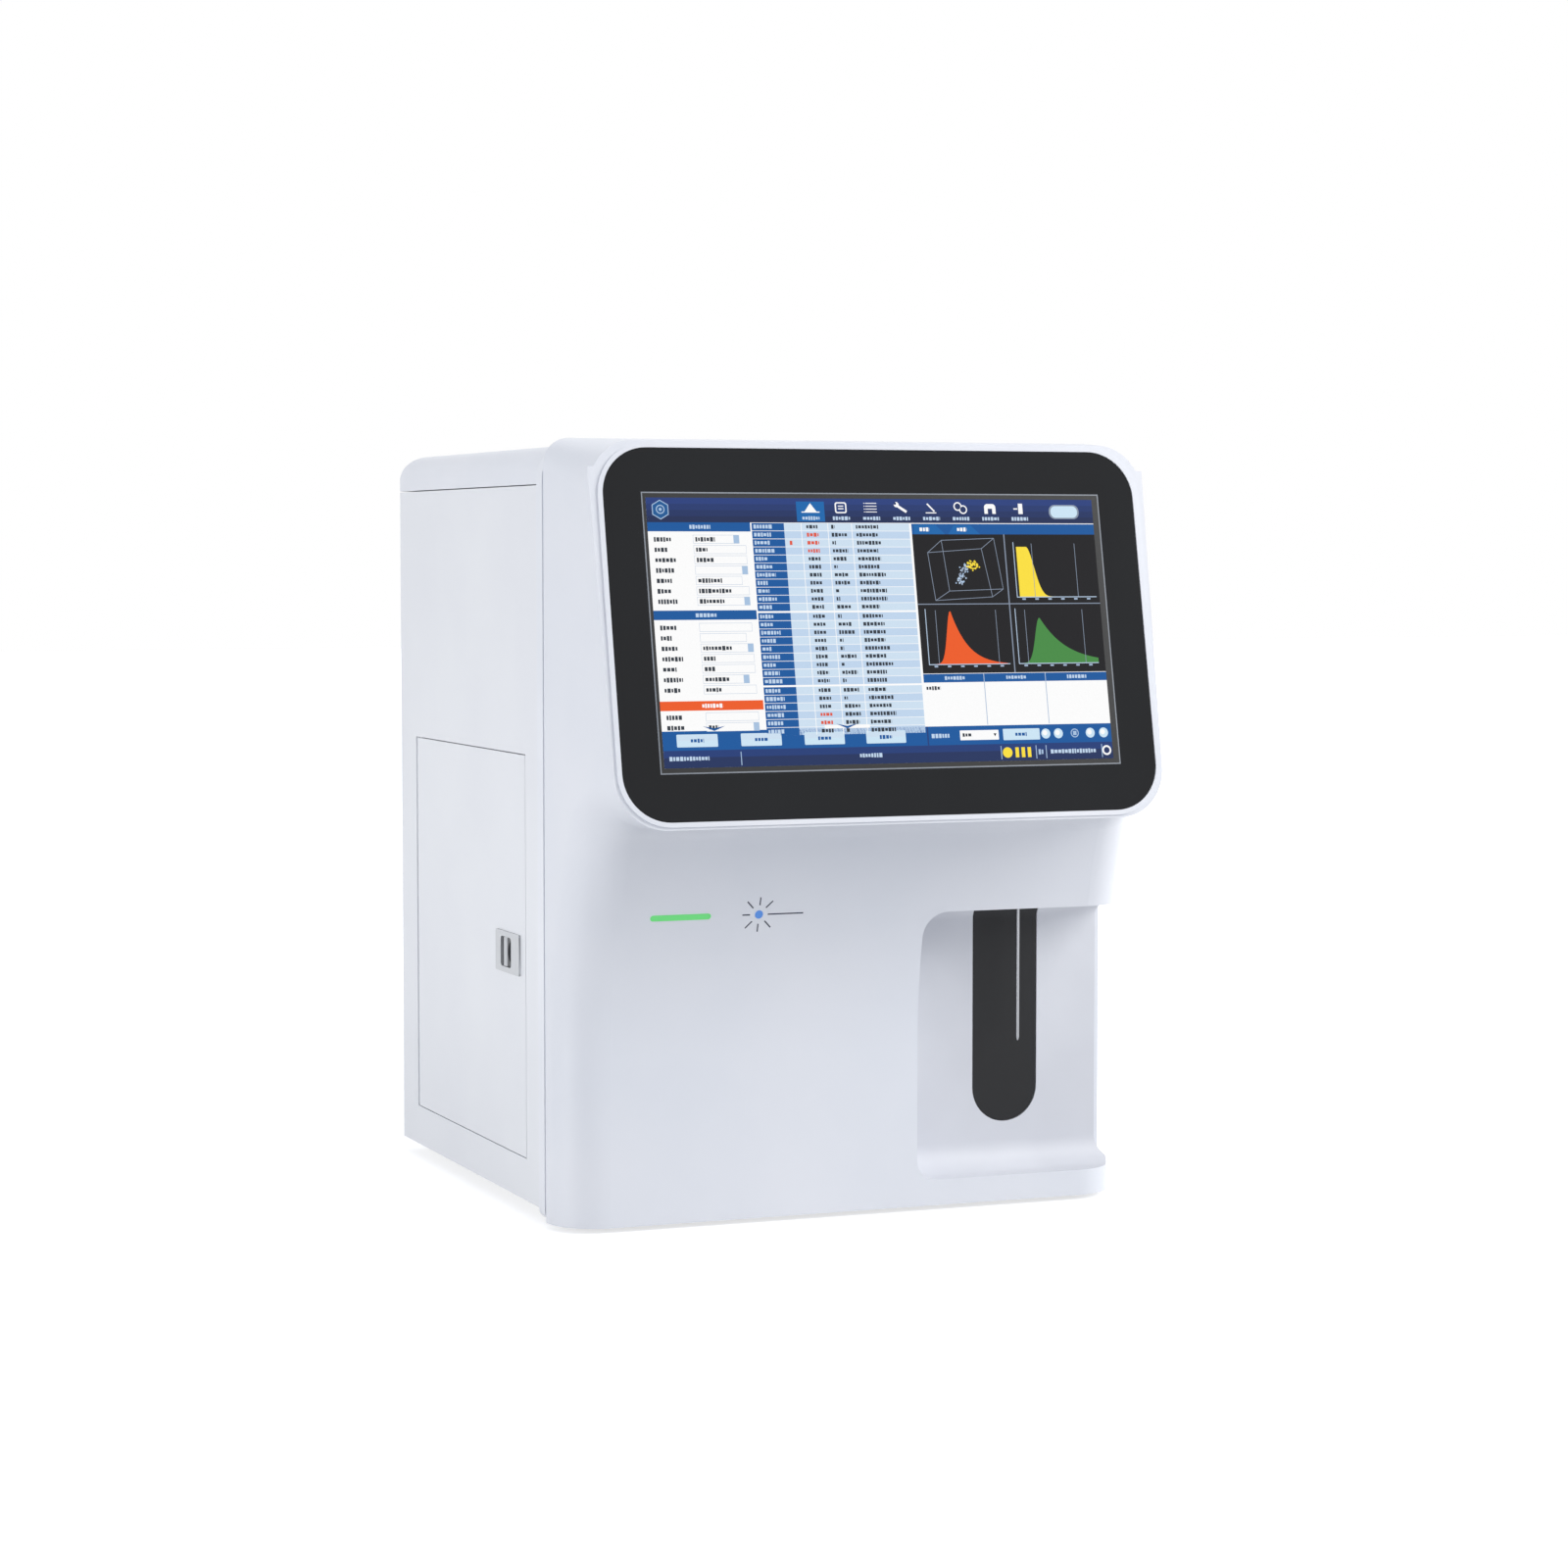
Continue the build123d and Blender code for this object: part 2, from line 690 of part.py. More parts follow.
with BuildPart() as lead_screw:
    rod((screw_x, screw_y, bearing_z), shelf_z + sheet + motor_height / 2, screw_radius)
    collar_z = bearing_z + bearing_thick + seam_gap
    rod((screw_x, screw_y, collar_z), collar_z + 3, 2 * screw_radius - 1)
save(lead_screw, "lead_screw")

with BuildPart() as lift_motor:
    with BuildSketch(Plane.XY.offset(shelf_z + sheet)):
        with Locations((screw_x, screw_y)):
            RectangleRounded(motor_size, motor_size, 4.0)
    extrude(amount=motor_height)
    shaft_top = shelf_z + sheet + motor_height / 2 + 1
    rod((screw_x, screw_y, shelf_z + sheet), shaft_top, screw_radius + run_gap, Mode.SUBTRACT)
save(lift_motor, "lift_motor")

with BuildPart() as probe_carriage:
    carriage_y = upright_y - seam_gap
    front_of_carriage = upright_y - rail_thick - carriage_thick
    box_between(
        (probe_x - rail_width - 3, front_of_carriage, carriage_low),
        (screw_x + 3 * screw_radius, carriage_y, carriage_low + carriage_height),
    )
    fillet(probe_carriage.edges().filter_by(Axis.Z), 1.5)
    box_between(
        (probe_x - arm_half, probe_place[1] - arm_half, carriage_low + carriage_height - arm_height),
        (probe_x + arm_half, front_of_carriage + 2, carriage_low + carriage_height),
    )
    box_between(
        (probe_x - rail_width / 2 - run_gap, upright_y - rail_thick - run_gap, carriage_low),
        (probe_x + rail_width / 2 + run_gap, upright_y, carriage_low + carriage_height),
        Mode.SUBTRACT,
    )
    carriage_top = carriage_low + carriage_height
    rod((screw_x, screw_y, carriage_low), carriage_top, screw_radius + run_gap, Mode.SUBTRACT)
    rod((*probe_place, carriage_low), carriage_top, probe_radius, Mode.SUBTRACT)
save(probe_carriage, "probe_carriage")

with BuildPart() as sample_probe:
    with BuildSketch(Plane.XZ.offset(-probe_place[1])):
        with BuildLine():
            hub_low = carriage_low + carriage_height
            Polyline(
                (probe_x, probe_z),
                (probe_x + probe_radius / 2, probe_z),
                (probe_x + probe_radius, probe_z + 2 * probe_radius),
                (probe_x + probe_radius, hub_low),
                (probe_x + 3, hub_low),
                (probe_x + 3, hub_low + 4),
                (probe_x + 2, hub_low + 5),
                (probe_x + 2, probe_top + 4),
                (probe_x, probe_top + 4),
                close=True,
            )
        make_face()
    revolve(axis=Axis((probe_x, probe_place[1], 0), (0, 0, 1)))
save(sample_probe, "sample_probe")

# Wash collar on the bay's roof, round the probe
with BuildPart() as probe_wiper:
    wiper_low = bay_top_z + wall
    with BuildSketch(Plane.XY.offset(wiper_low)):
        with Locations(probe_place):
            RectangleRounded(18.0, 18.0, 3.0)
    extrude(amount=12.0)
    rod((*probe_place, wiper_low + 12), wiper_low + 15, 5.0)
    rod((*probe_place, wiper_low), wiper_low + 15, probe_radius + slide_gap, Mode.SUBTRACT)
save(probe_wiper, "probe_wiper")

# Rear body: side panels, top cover, rear panel, base plate and feet
flange = 12.0
door_hole = (door_y - door_gap, door_back + door_gap, door_z - door_gap, door_top + door_gap)
hinge_boss = 12.0


def side_panel_form(side):
    """One side panel, with a flange turned in behind the rear panel."""
    outer = side * panel_x
    inner = side * inner_x
    with BuildPart() as form:
        with BuildSketch(Plane.XY.offset(base_z)):
            with BuildLine():
                Polyline(
                    (outer, side_y),
                    (outer, rear_y),
                    (inner, rear_y),
                    (inner, rear_y - sheet),
                    (inner - side * flange, rear_y - sheet),
                    (inner - side * flange, rear_y - 2 * sheet),
                    (inner, rear_y - 2 * sheet),
                    (inner, side_y),
                    close=True,
                )
            make_face()
        extrude(amount=parting_z - base_z)
    return form.part


with BuildPart() as left_side_panel:
    add(side_panel_form(-1))
    box_between(
        (-panel_x, door_hole[0], door_hole[2]), (-inner_x, door_hole[1], door_hole[3]), Mode.SUBTRACT
    )
    for boss_z, way in ((door_hole[2], -1), (door_hole[3], 1)):
        far_z = boss_z + way * hinge_boss
        box_between(
            (-panel_x, hinge_y - hinge_boss / 2, min(boss_z, far_z)),
            (hinge_x + hinge_boss / 2, hinge_y + hinge_boss / 2, max(boss_z, far_z)),
        )
        end_z = boss_z + way * (hinge_pin_reach + 1)
        rod(
            (hinge_x, hinge_y, min(boss_z, end_z)),
            max(boss_z, end_z),
            hinge_pin_radius + run_gap,
            Mode.SUBTRACT,
        )
save(left_side_panel, "left_side_panel")

vent_length = 60.0
vent_width = 3.0
vent_pitch = 9.0
vent_count = 9
with BuildPart() as right_side_panel:
    add(side_panel_form(1))
    with BuildSketch(Plane.YZ.offset(inner_x)):
        with Locations((rear_y - vent_length, parting_z - vent_pitch * (vent_count + 1) / 2 - 2 * flange)):
            with GridLocations(vent_length, vent_pitch, 1, vent_count):
                SlotOverall(vent_length, vent_width)
    extrude(amount=panel_thick, mode=Mode.SUBTRACT)
save(right_side_panel, "right_side_panel")


def top_form(inset):
    """The top cover's outer form, or its hollow when it is inset by the wall."""
    low = parting_z + door_gap
    height = floor_z + body_top - inset - low
    half = panel_x - inset
    with BuildPart() as form:
        box_between((-half, side_y, low), (half, rear_y - inset, low + height))
        upper = form.edges().group_by(Axis.Z)[-1]
        rounded = upper.filter_by(lambda e: e.center().Y > side_y + wall)
        fillet(rounded, top_round - inset)
    return form.part


with BuildPart() as top_cover:
    add(top_form(0))
    add(top_form(wall), mode=Mode.SUBTRACT)
save(top_cover, "top_cover")

# Rear panel with its fan opening, inlet, ports and hose fittings
fan_size = 80.0
fan_depth = 25.0
fan_x = inner_x - 74.5
fan_z = parting_z - 87.2
fan_bore = 38.0
inlet_x = inner_x - 49.5
inlet_z = floor_z + 45.0
inlet_width = 27.0
inlet_height = 47.0
inlet_depth = 24.0
socket_width = 20.0
socket_height = 14.0
ports_x = 47.5 - inner_x
ports_z = parting_z - 77.2
ports_width = 60.0
ports_height = 18.0
fitting_x = -40.0
fitting_z = floor_z + 60.0
fitting_pitch = 24.0
fitting_count = 4
barb_radius = 3.0
panel_back = rear_y - sheet
screw_rows = 4
screw_head = 3.2
screw_shank = 1.6
rear_top = parting_z - door_gap
screw_pitch = (rear_top - base_z - 2 * flange) / (screw_rows - 1)

with BuildPart() as rear_panel:
    box_between((-inner_x, panel_back, base_z), (inner_x, rear_y, rear_top))
    with BuildSketch(Plane.XZ.offset(-rear_y)):
        with Locations((fan_x, fan_z)):
            Circle(fan_bore)
        with Locations((inlet_x, inlet_z)):
            Rectangle(inlet_width, inlet_height)
        with Locations((ports_x, ports_z)):
            Rectangle(ports_width, ports_height)
        with Locations((fitting_x, fitting_z)):
            with GridLocations(fitting_pitch, fitting_pitch, fitting_count, 1):
                Circle(barb_radius + 1 + run_gap)
        with Locations((0, (base_z + rear_top) / 2)):
            with GridLocations(2 * (inner_x - flange / 2), screw_pitch, 2, screw_rows):
                Circle(screw_shank)
        with Locations((fan_x, fan_z)):
            with GridLocations(fan_size - 8.5, fan_size - 8.5, 2, 2):
                Circle(screw_shank)
    extrude(amount=sheet, mode=Mode.SUBTRACT)
save(rear_panel, "rear_panel")

with BuildPart() as panel_screws:
    with BuildSketch(Plane.XZ.offset(-rear_y)):
        with Locations((0, (base_z + rear_top) / 2)):
            with GridLocations(2 * (inner_x - flange / 2), screw_pitch, 2, screw_rows):
                Circle(screw_head)
    extrude(amount=-sheet)
    heads = panel_screws.faces().filter_by(Axis.Y).group_by(Axis.Y)[-1]
    chamfer(heads.edges(), sheet / 2)
    with BuildSketch(Plane.XZ.offset(-rear_y)):
        with Locations((0, (base_z + rear_top) / 2)):
            with GridLocations(2 * (inner_x - flange / 2), screw_pitch, 2, screw_rows):
                Circle(screw_shank)
    extrude(amount=sheet)
save(panel_screws, "panel_screws")

with BuildPart() as base_plate:
    box_between((-inner_x, side_y, base_z), (inner_x, panel_back - sheet, base_z + flange))
    box_between(
        (sheet - inner_x, side_y, deck_z),
        (inner_x - sheet, panel_back - 2 * sheet, base_z + flange),
        Mode.SUBTRACT,
    )
    box_between(
        (flange - inner_x + seam_gap, panel_back - 2 * sheet, base_z),
        (inner_x - flange - seam_gap, panel_back, base_z + flange),
    )
save(base_plate, "base_plate")

foot_radius = 10.0
foot_spread_x = 260.0
foot_front = 80.0
foot_back = 290.0
with BuildPart() as feet:
    with BuildSketch(Plane.XY):
        with Locations((0, front_y + (foot_front + foot_back) / 2)):
            with GridLocations(foot_spread_x, foot_back - foot_front, 2, 2):
                Circle(foot_radius)
    extrude(amount=base_z)
    chamfer(feet.faces().sort_by(Axis.Z)[0:4].edges(), 1.0)
save(feet, "feet")

# Reagent compartment behind the side door
liner_wall = 2.5
liner_front = side_y + 18.0
liner_back = panel_back - 20.0
liner_depth = 76.0
liner_left = hinge_x + hinge_boss / 2
liner_right = liner_left + liner_depth
liner_top = floor_z + 276.0
tray_height = 14.0
tray_wall = 2.0
bottle_count = 3
bottle_pitch = 78.0
bottle_width = 56.0
bottle_depth = 66.0
bottle_height = 135.0
shoulder_height = 14.0
neck_radius = 13.0
neck_height = 12.0
cap_radius = 17.0
tube_radius = 2.5
tube_bend = 22.0
tube_z = floor_z + 237.0
tray_left = liner_left + 4.0
tray_right = liner_right - liner_wall - seam_gap
bottle_x = (tray_left + tray_right) / 2
bottle_y = (liner_front + liner_back) / 2
tray_floor = deck_z + liner_wall
bottle_z = tray_floor + tray_wall
shoulder_z = bottle_z + bottle_height
neck_z = shoulder_z + shoulder_height
neck_top = neck_z + neck_height
cap_z = neck_z + seam_gap
cap_top = neck_top + tray_wall

with BuildPart() as reagent_liner:
    box_between((liner_left, liner_front, deck_z), (liner_right, liner_back, liner_top))
    box_between(
        (liner_left, liner_front + liner_wall, deck_z + liner_wall),
        (liner_right - liner_wall, liner_back - liner_wall, liner_top - liner_wall),
        Mode.SUBTRACT,
    )
    with BuildSketch(Plane.YZ.offset(liner_right - liner_wall)):
        with Locations((bottle_y, tube_z)):
            with GridLocations(bottle_pitch, 1, bottle_count, 1):
                Circle(tube_radius + run_gap)
    extrude(amount=liner_wall, mode=Mode.SUBTRACT)
save(reagent_liner, "reagent_liner")

with BuildPart() as bottle_tray:
    tray_half = (bottle_count * bottle_pitch + tray_wall) / 2
    box_between(
        (tray_left, bottle_y - tray_half, tray_floor),
        (tray_right, bottle_y + tray_half, tray_floor + tray_height),
    )
    fillet(bottle_tray.edges().filter_by(Axis.Z), 2 * tray_wall)
    with BuildSketch(Plane.XY.offset(bottle_z)):
        with Locations((bottle_x, bottle_y)):
            with GridLocations(1, bottle_pitch, 1, bottle_count):
                RectangleRounded(bottle_width + 1, bottle_pitch - tray_wall, 6.0)
    extrude(amount=tray_height, mode=Mode.SUBTRACT)
save(bottle_tray, "bottle_tray")


def bottle_form(middle_y):
    """A square reagent bottle with a sloped shoulder and a round neck."""
    with BuildPart() as form:
        with BuildSketch(Plane.XY.offset(bottle_z)):
            with Locations((bottle_x, middle_y)):
                RectangleRounded(bottle_width, bottle_depth, 8.0)
        extrude(amount=bottle_height)
        chamfer(form.faces().sort_by(Axis.Z)[0].edges(), 1.5)
        with BuildSketch(Plane.XY.offset(shoulder_z)):
            with Locations((bottle_x, middle_y)):
                RectangleRounded(bottle_width, bottle_depth, 8.0)
        with BuildSketch(Plane.XY.offset(neck_z)):
            with Locations((bottle_x, middle_y)):
                RectangleRounded(2 * neck_radius, 2 * neck_radius, neck_radius - 1)
        loft()
        rod((bottle_x, middle_y, neck_z), neck_top, neck_radius)
    return form.part


bottle_rows = [bottle_y + (i - (bottle_count - 1) / 2) * bottle_pitch for i in range(bottle_count)]
with BuildPart() as reagent_bottles:
    for middle_y in bottle_rows:
        add(bottle_form(middle_y))
save(reagent_bottles, "reagent_bottles")

with BuildPart() as bottle_caps:
    for middle_y in bottle_rows:
        rod((bottle_x, middle_y, cap_z), cap_top, cap_radius)
    chamfer(bottle_caps.faces().filter_by(Axis.Z).group_by(Axis.Z)[-1].edges(), 1.5)
    for middle_y in bottle_rows:
        rod((bottle_x, middle_y, cap_z), neck_top, neck_radius + run_gap, Mode.SUBTRACT)
        rod((bottle_x, middle_y, neck_top), cap_top + 4, tube_radius + 2)
        rod((bottle_x, middle_y, neck_top), cap_top + 4, tube_radius + run_gap, Mode.SUBTRACT)
save(bottle_caps, "bottle_caps")

with BuildPart() as supply_tubes:
    for middle_y in bottle_rows:
        with BuildLine() as tube_path:
            Polyline(
                (bottle_x, middle_y, neck_top),
                (bottle_x, middle_y, tube_z),
                (liner_right, middle_y, tube_z),
            )
            fillet(tube_path.vertices().sort_by(Axis.Z)[-2:].sort_by(Axis.X)[0], tube_bend)
        with BuildSketch(Plane.XY.offset(neck_top)):
            with Locations((bottle_x, middle_y)):
                Circle(tube_radius)
        sweep(path=tube_path.line)
save(supply_tubes, "supply_tubes")

# Mid wall with the main board, standing on the base plate
mid_left = liner_right + 2.0
mid_right = mid_left + sheet
mid_top = parting_z - flange
board_thick = 1.6
standoff = 5.0
board_margin = 14.0
board_front = side_y + 3 * board_margin
board_back = panel_back - 2 * board_margin
board_low = liner_top + board_margin
board_high = mid_top - board_margin / 2
board_length = board_back - board_front
board_height = board_high - board_low
with BuildPart() as mid_wall:
    mid_front = side_y + sheet
    mid_back = panel_back - 2 * sheet
    box_between((mid_left, mid_front, deck_z), (mid_right, mid_back, mid_top))
    box_between((mid_left, mid_front, deck_z), (mid_right + flange, mid_back, deck_z + sheet))
    with BuildSketch(Plane.YZ.offset(mid_left)):
        with Locations(((board_front + board_back) / 2, (board_low + board_high) / 2)):
            with GridLocations(board_length / 2 - board_margin, board_height - board_margin, 3, 2):
                Circle(3.0)
    extrude(amount=-standoff)
    with BuildSketch(Plane.YZ.offset(mid_left)):
        with Locations((bottle_y, tube_z)):
            with GridLocations(bottle_pitch, 1, bottle_count, 1):
                Circle(2 * tube_radius)
    extrude(amount=sheet, mode=Mode.SUBTRACT)
save(mid_wall, "mid_wall")

with BuildPart() as main_board:
    board_face = mid_left - standoff
    box_between((board_face - board_thick, board_front, board_low), (board_face, board_back, board_high))
    for along, up, long, tall, high in (
        (0.07, 0.37, 0.16, 0.32, 4),
        (0.32, 0.50, 0.10, 0.20, 2.5),
        (0.50, 0.18, 0.12, 0.14, 2.5),
        (0.70, 0.52, 0.06, 0.38, 9),
        (0.81, 0.52, 0.06, 0.38, 9),
        (0.32, 0.11, 0.14, 0.10, 6),
        (0.08, 0.11, 0.18, 0.12, 12),
    ):
        part_y = board_front + along * board_length
        part_z = board_low + up * board_height
        box_between(
            (board_face - board_thick - high, part_y, part_z),
            (board_face - board_thick, part_y + long * board_length, part_z + tall * board_height),
        )
save(main_board, "main_board")

# Syringe unit on the mid wall's right side: two barrels, plungers and their motors
syringe_plate = 3.0
syringe_reach = 23.5
syringe_x = mid_right + syringe_reach
syringe_spacing = 50.0
syringe_y = side_y + 81.0
syringe_rows = (syringe_y - syringe_spacing / 2, syringe_y + syringe_spacing / 2)
syringe_low = syringe_y - 1.1 * syringe_spacing
syringe_high = syringe_y + 1.1 * syringe_spacing
motor_deck_z = deck_z + 132.7
barrel_deck_z = motor_deck_z + 66.0
shelf_thick = 5.0
shelf_reach = 26.0
barrel_height = 88.0
barrel_outer = (14.0, 8.0)
barrel_inner = (12.0, 5.5)
plunger_radius = 4.0
drive_motor = 34.0
drive_height = 32.0
frame_right = syringe_x + shelf_reach
with BuildPart() as syringe_frame:
    box_between(
        (mid_right, syringe_low, motor_deck_z),
        (mid_right + syringe_plate, syringe_high, barrel_deck_z + shelf_thick),
    )
    for shelf in (motor_deck_z, barrel_deck_z):
        box_between((mid_right, syringe_low, shelf), (frame_right, syringe_high, shelf + shelf_thick))
    for row_y in syringe_rows:
        for deck in (motor_deck_z, barrel_deck_z):
            rod((syringe_x, row_y, deck), deck + shelf_thick, plunger_radius + run_gap, Mode.SUBTRACT)
save(syringe_frame, "syringe_frame")

barrel_z = barrel_deck_z + shelf_thick


def barrel_form(row_y, outer, inner):
    """A clear syringe barrel with a domed head and a tube stub."""
    with BuildPart() as form:
        rod((syringe_x, row_y, barrel_z), barrel_z + barrel_height, outer)
        fillet(form.faces().sort_by(Axis.Z)[-1].edges(), outer / 3)
        rod((syringe_x, row_y, barrel_z + barrel_height), barrel_z + barrel_height + 8, tube_radius)
        rod((syringe_x, row_y, barrel_z), barrel_z + barrel_height - 5, inner, Mode.SUBTRACT)
    return form.part


with BuildPart() as diluent_barrel:
    add(barrel_form(syringe_rows[0], barrel_outer[0], barrel_inner[0]))
save(diluent_barrel, "diluent_barrel")

with BuildPart() as sample_barrel:
    add(barrel_form(syringe_rows[1], barrel_outer[1], barrel_inner[1]))
save(sample_barrel, "sample_barrel")


def plunger_form(row_y, inner):
    """A plunger at the top of its stroke, its rod reaching down past both shelves."""
    head_z = barrel_z + barrel_height - 6
    with BuildPart() as form:
        rod((syringe_x, row_y, head_z - 10), head_z, inner - run_gap)
        rod((syringe_x, row_y, motor_deck_z + 1), head_z - 10, plunger_radius)
        rod((syringe_x, row_y, barrel_deck_z - 10), barrel_deck_z - 4, plunger_radius + 4)
    return form.part


with BuildPart() as diluent_plunger:
    add(plunger_form(syringe_rows[0], barrel_inner[0]))
save(diluent_plunger, "diluent_plunger")

with BuildPart() as sample_plunger:
    add(plunger_form(syringe_rows[1], barrel_inner[1]))
save(sample_plunger, "sample_plunger")

with BuildPart() as syringe_motors:
    for row_y in syringe_rows:
        box_between(
            (syringe_x - drive_motor / 2, row_y - drive_motor / 2, motor_deck_z - drive_height),
            (syringe_x + drive_motor / 2, row_y + drive_motor / 2, motor_deck_z),
        )
    fillet(syringe_motors.edges().filter_by(Axis.Z), 3.0)
    for row_y in syringe_rows:
        bore = plunger_radius + run_gap
        rod((syringe_x, row_y, motor_deck_z - drive_height), motor_deck_z, bore, Mode.SUBTRACT)
save(syringe_motors, "syringe_motors")

# Valve block behind the syringes
manifold_back = panel_back - 13.5
manifold_front = manifold_back - 110.0
manifold_low = motor_deck_z + 10.0
manifold_high = manifold_low + 40.0
manifold_thick = 20.0
valve_radius = 8.0
valve_length = 30.0
valve_pitch = 34.0
with BuildPart() as valve_manifold:
    box_between(
        (mid_right, manifold_front, manifold_low),
        (mid_right + manifold_thick, manifold_back, manifold_high),
    )
    chamfer(valve_manifold.faces().sort_by(Axis.X)[-1].edges(), 1.5)
    with BuildSketch(Plane.XY.offset(manifold_high)):
        with Locations((mid_right + manifold_thick / 2, (manifold_front + manifold_back) / 2)):
            with GridLocations(1, valve_pitch / 2, 1, 6):
                Circle(tube_radius)
    extrude(amount=9)
save(valve_manifold, "valve_manifold")

with BuildPart() as solenoid_valves:
    with BuildSketch(Plane.YZ.offset(mid_right + manifold_thick)):
        with Locations(((manifold_front + manifold_back) / 2, (manifold_low + manifold_high) / 2)):
            with GridLocations(valve_pitch, valve_pitch / 2 + 2, 3, 2):
                Circle(valve_radius)
    extrude(amount=valve_length)
    chamfer(solenoid_valves.faces().filter_by(Axis.X).group_by(Axis.X)[-1].edges(), 1.5)
save(solenoid_valves, "solenoid_valves")

# Deck plate for the counting baths and the optics box
deck_left = mid_right + syringe_reach + 30.0
deck_right = inner_x - 4.5
deck_front = side_y + 51.0
deck_back = panel_back - 10.5
plate_z = motor_deck_z + 8.0
leg = 10.0
with BuildPart() as deck_plate:
    box_between((deck_left, deck_front, plate_z), (deck_right, deck_back, plate_z + sheet))
    for leg_x in (deck_left, deck_right - leg):
        for leg_y in (deck_front, deck_back - leg):
            box_between((leg_x, leg_y, deck_z), (leg_x + leg, leg_y + leg, plate_z))
save(deck_plate, "deck_plate")

bath_radius = 16.0
bath_height = 52.0
optics_height = 62.0
lens_radius = 14.0
bath_places = (deck_left + 30.0, deck_left + 75.0)
bath_y = deck_front + 25.0
with BuildPart() as counting_baths:
    bath_z = plate_z + sheet
    for bath_x in bath_places:
        rod((bath_x, bath_y, bath_z), bath_z + bath_height, bath_radius)
        rod((bath_x, bath_y, bath_z + 8), bath_z + bath_height, bath_radius - sheet, Mode.SUBTRACT)
        rod((bath_x, bath_y, bath_z), bath_z + 6, bath_radius + 5)
save(counting_baths, "counting_baths")

with BuildPart() as optics_box:
    optics_front = bath_y + 50
    optics_left = deck_left + leg
    optics_right = deck_left + 0.66 * (deck_right - deck_left)
    optics_back = deck_back - 1.8 * leg
    box_between((optics_left, optics_front, bath_z), (optics_right, optics_back, bath_z + optics_height))
    fillet(optics_box.edges().filter_by(Axis.Z), 5.0)
    chamfer(optics_box.faces().sort_by(Axis.Z)[-1].edges(), 1.5)
    with BuildSketch(Plane.XZ.offset(-optics_front)):
        with Locations(((optics_left + optics_right) / 2, bath_z + optics_height / 2)):
            Circle(lens_radius)
    extrude(amount=lens_radius)
save(optics_box, "optics_box")

# Under the deck: vacuum tank, air pump, waste pump and power supply
tank_radius = 34.0
tank_x = mid_right + syringe_reach + tank_radius + 31.0
tank_y = deck_front + 21.0 + tank_radius
tank_height = 110.0
with BuildPart() as vacuum_tank:
    rod((tank_x, tank_y, deck_z), deck_z + tank_height, tank_radius)
    fillet(vacuum_tank.faces().sort_by(Axis.Z)[-1].edges(), 14.0)
    for port_x in (tank_x - 12, tank_x + 12):
        rod((port_x, tank_y, deck_z + tank_height - 1), deck_z + tank_height + 12, tube_radius + 0.5)
save(vacuum_tank, "vacuum_tank")

air_pump_width = 45.0
air_pump_length = 80.0
air_pump_height = 42.0
air_pump_x = mid_right + 13.5 + air_pump_width / 2
air_pump_back = panel_back - 23.5
with BuildPart() as air_pump:
    box_between(
        (air_pump_x - air_pump_width / 2, air_pump_back - air_pump_length, deck_z),
        (air_pump_x + air_pump_width / 2, air_pump_back, deck_z + air_pump_height),
    )
    fillet(air_pump.edges().filter_by(Axis.Y), 8.0)
    with BuildSketch(Plane.XZ.offset(-(air_pump_back - air_pump_length))):
        with Locations((air_pump_x, deck_z + air_pump_height / 2)):
            Circle(air_pump_width / 3)
    extrude(amount=air_pump_length / 3)
save(air_pump, "air_pump")

pump_x = inner_x - 69.5
pump_y = deck_front + 25.0
pump_radius = 27.0
pump_z = deck_z + pump_radius + 6
pump_wall = 3.0
pump_depth = 22.0
pump_shaft = 4.0
with BuildPart() as waste_pump:
    with BuildSketch(Plane.XZ.offset(-(pump_y + pump_depth))):
        with Locations((pump_x, pump_z)):
            Circle(pump_radius)
    extrude(amount=pump_depth)
    with BuildSketch(Plane.XZ.offset(-(pump_y + pump_depth - pump_wall))):
        with Locations((pump_x, pump_z)):
            Circle(pump_radius - pump_wall)
    extrude(amount=pump_depth, mode=Mode.SUBTRACT)
    with BuildSketch(Plane.XZ.offset(-(pump_y + pump_depth))):
        with Locations((pump_x, pump_z)):
            Circle(pump_radius - 9)
    extrude(amount=-40)
    with BuildSketch(Plane.XZ.offset(-(pump_y + pump_depth + 20))):
        with Locations((pump_x, pump_z)):
            Circle(pump_shaft + run_gap)
    extrude(amount=pump_depth + 20, mode=Mode.SUBTRACT)
    box_between(
        (pump_x - pump_radius + 2, pump_y + pump_depth - pump_wall, deck_z),
        (pump_x + pump_radius - 2, pump_y + pump_depth, pump_z - pump_radius + pump_wall),
    )
    box_between(
        (pump_x - pump_radius + 2, pump_y, deck_z), (pump_x + pump_radius - 2, pump_y + 50, deck_z + sheet)
    )
save(waste_pump, "waste_pump")

with BuildPart() as pump_rotor:
    rotor_y = pump_y + pump_depth - pump_wall - seam_gap
    with BuildSketch(Plane.XZ.offset(-rotor_y)):
        with Locations((pump_x, pump_z)):
            Circle(9.0)
            with PolarLocations(13.0, 3):
                Circle(5.5)
    extrude(amount=pump_depth - 2 * pump_wall)
    with BuildSketch(Plane.XZ.offset(-(rotor_y + 20))):
        with Locations((pump_x, pump_z)):
            Circle(pump_shaft)
    extrude(amount=20)
save(pump_rotor, "pump_rotor")

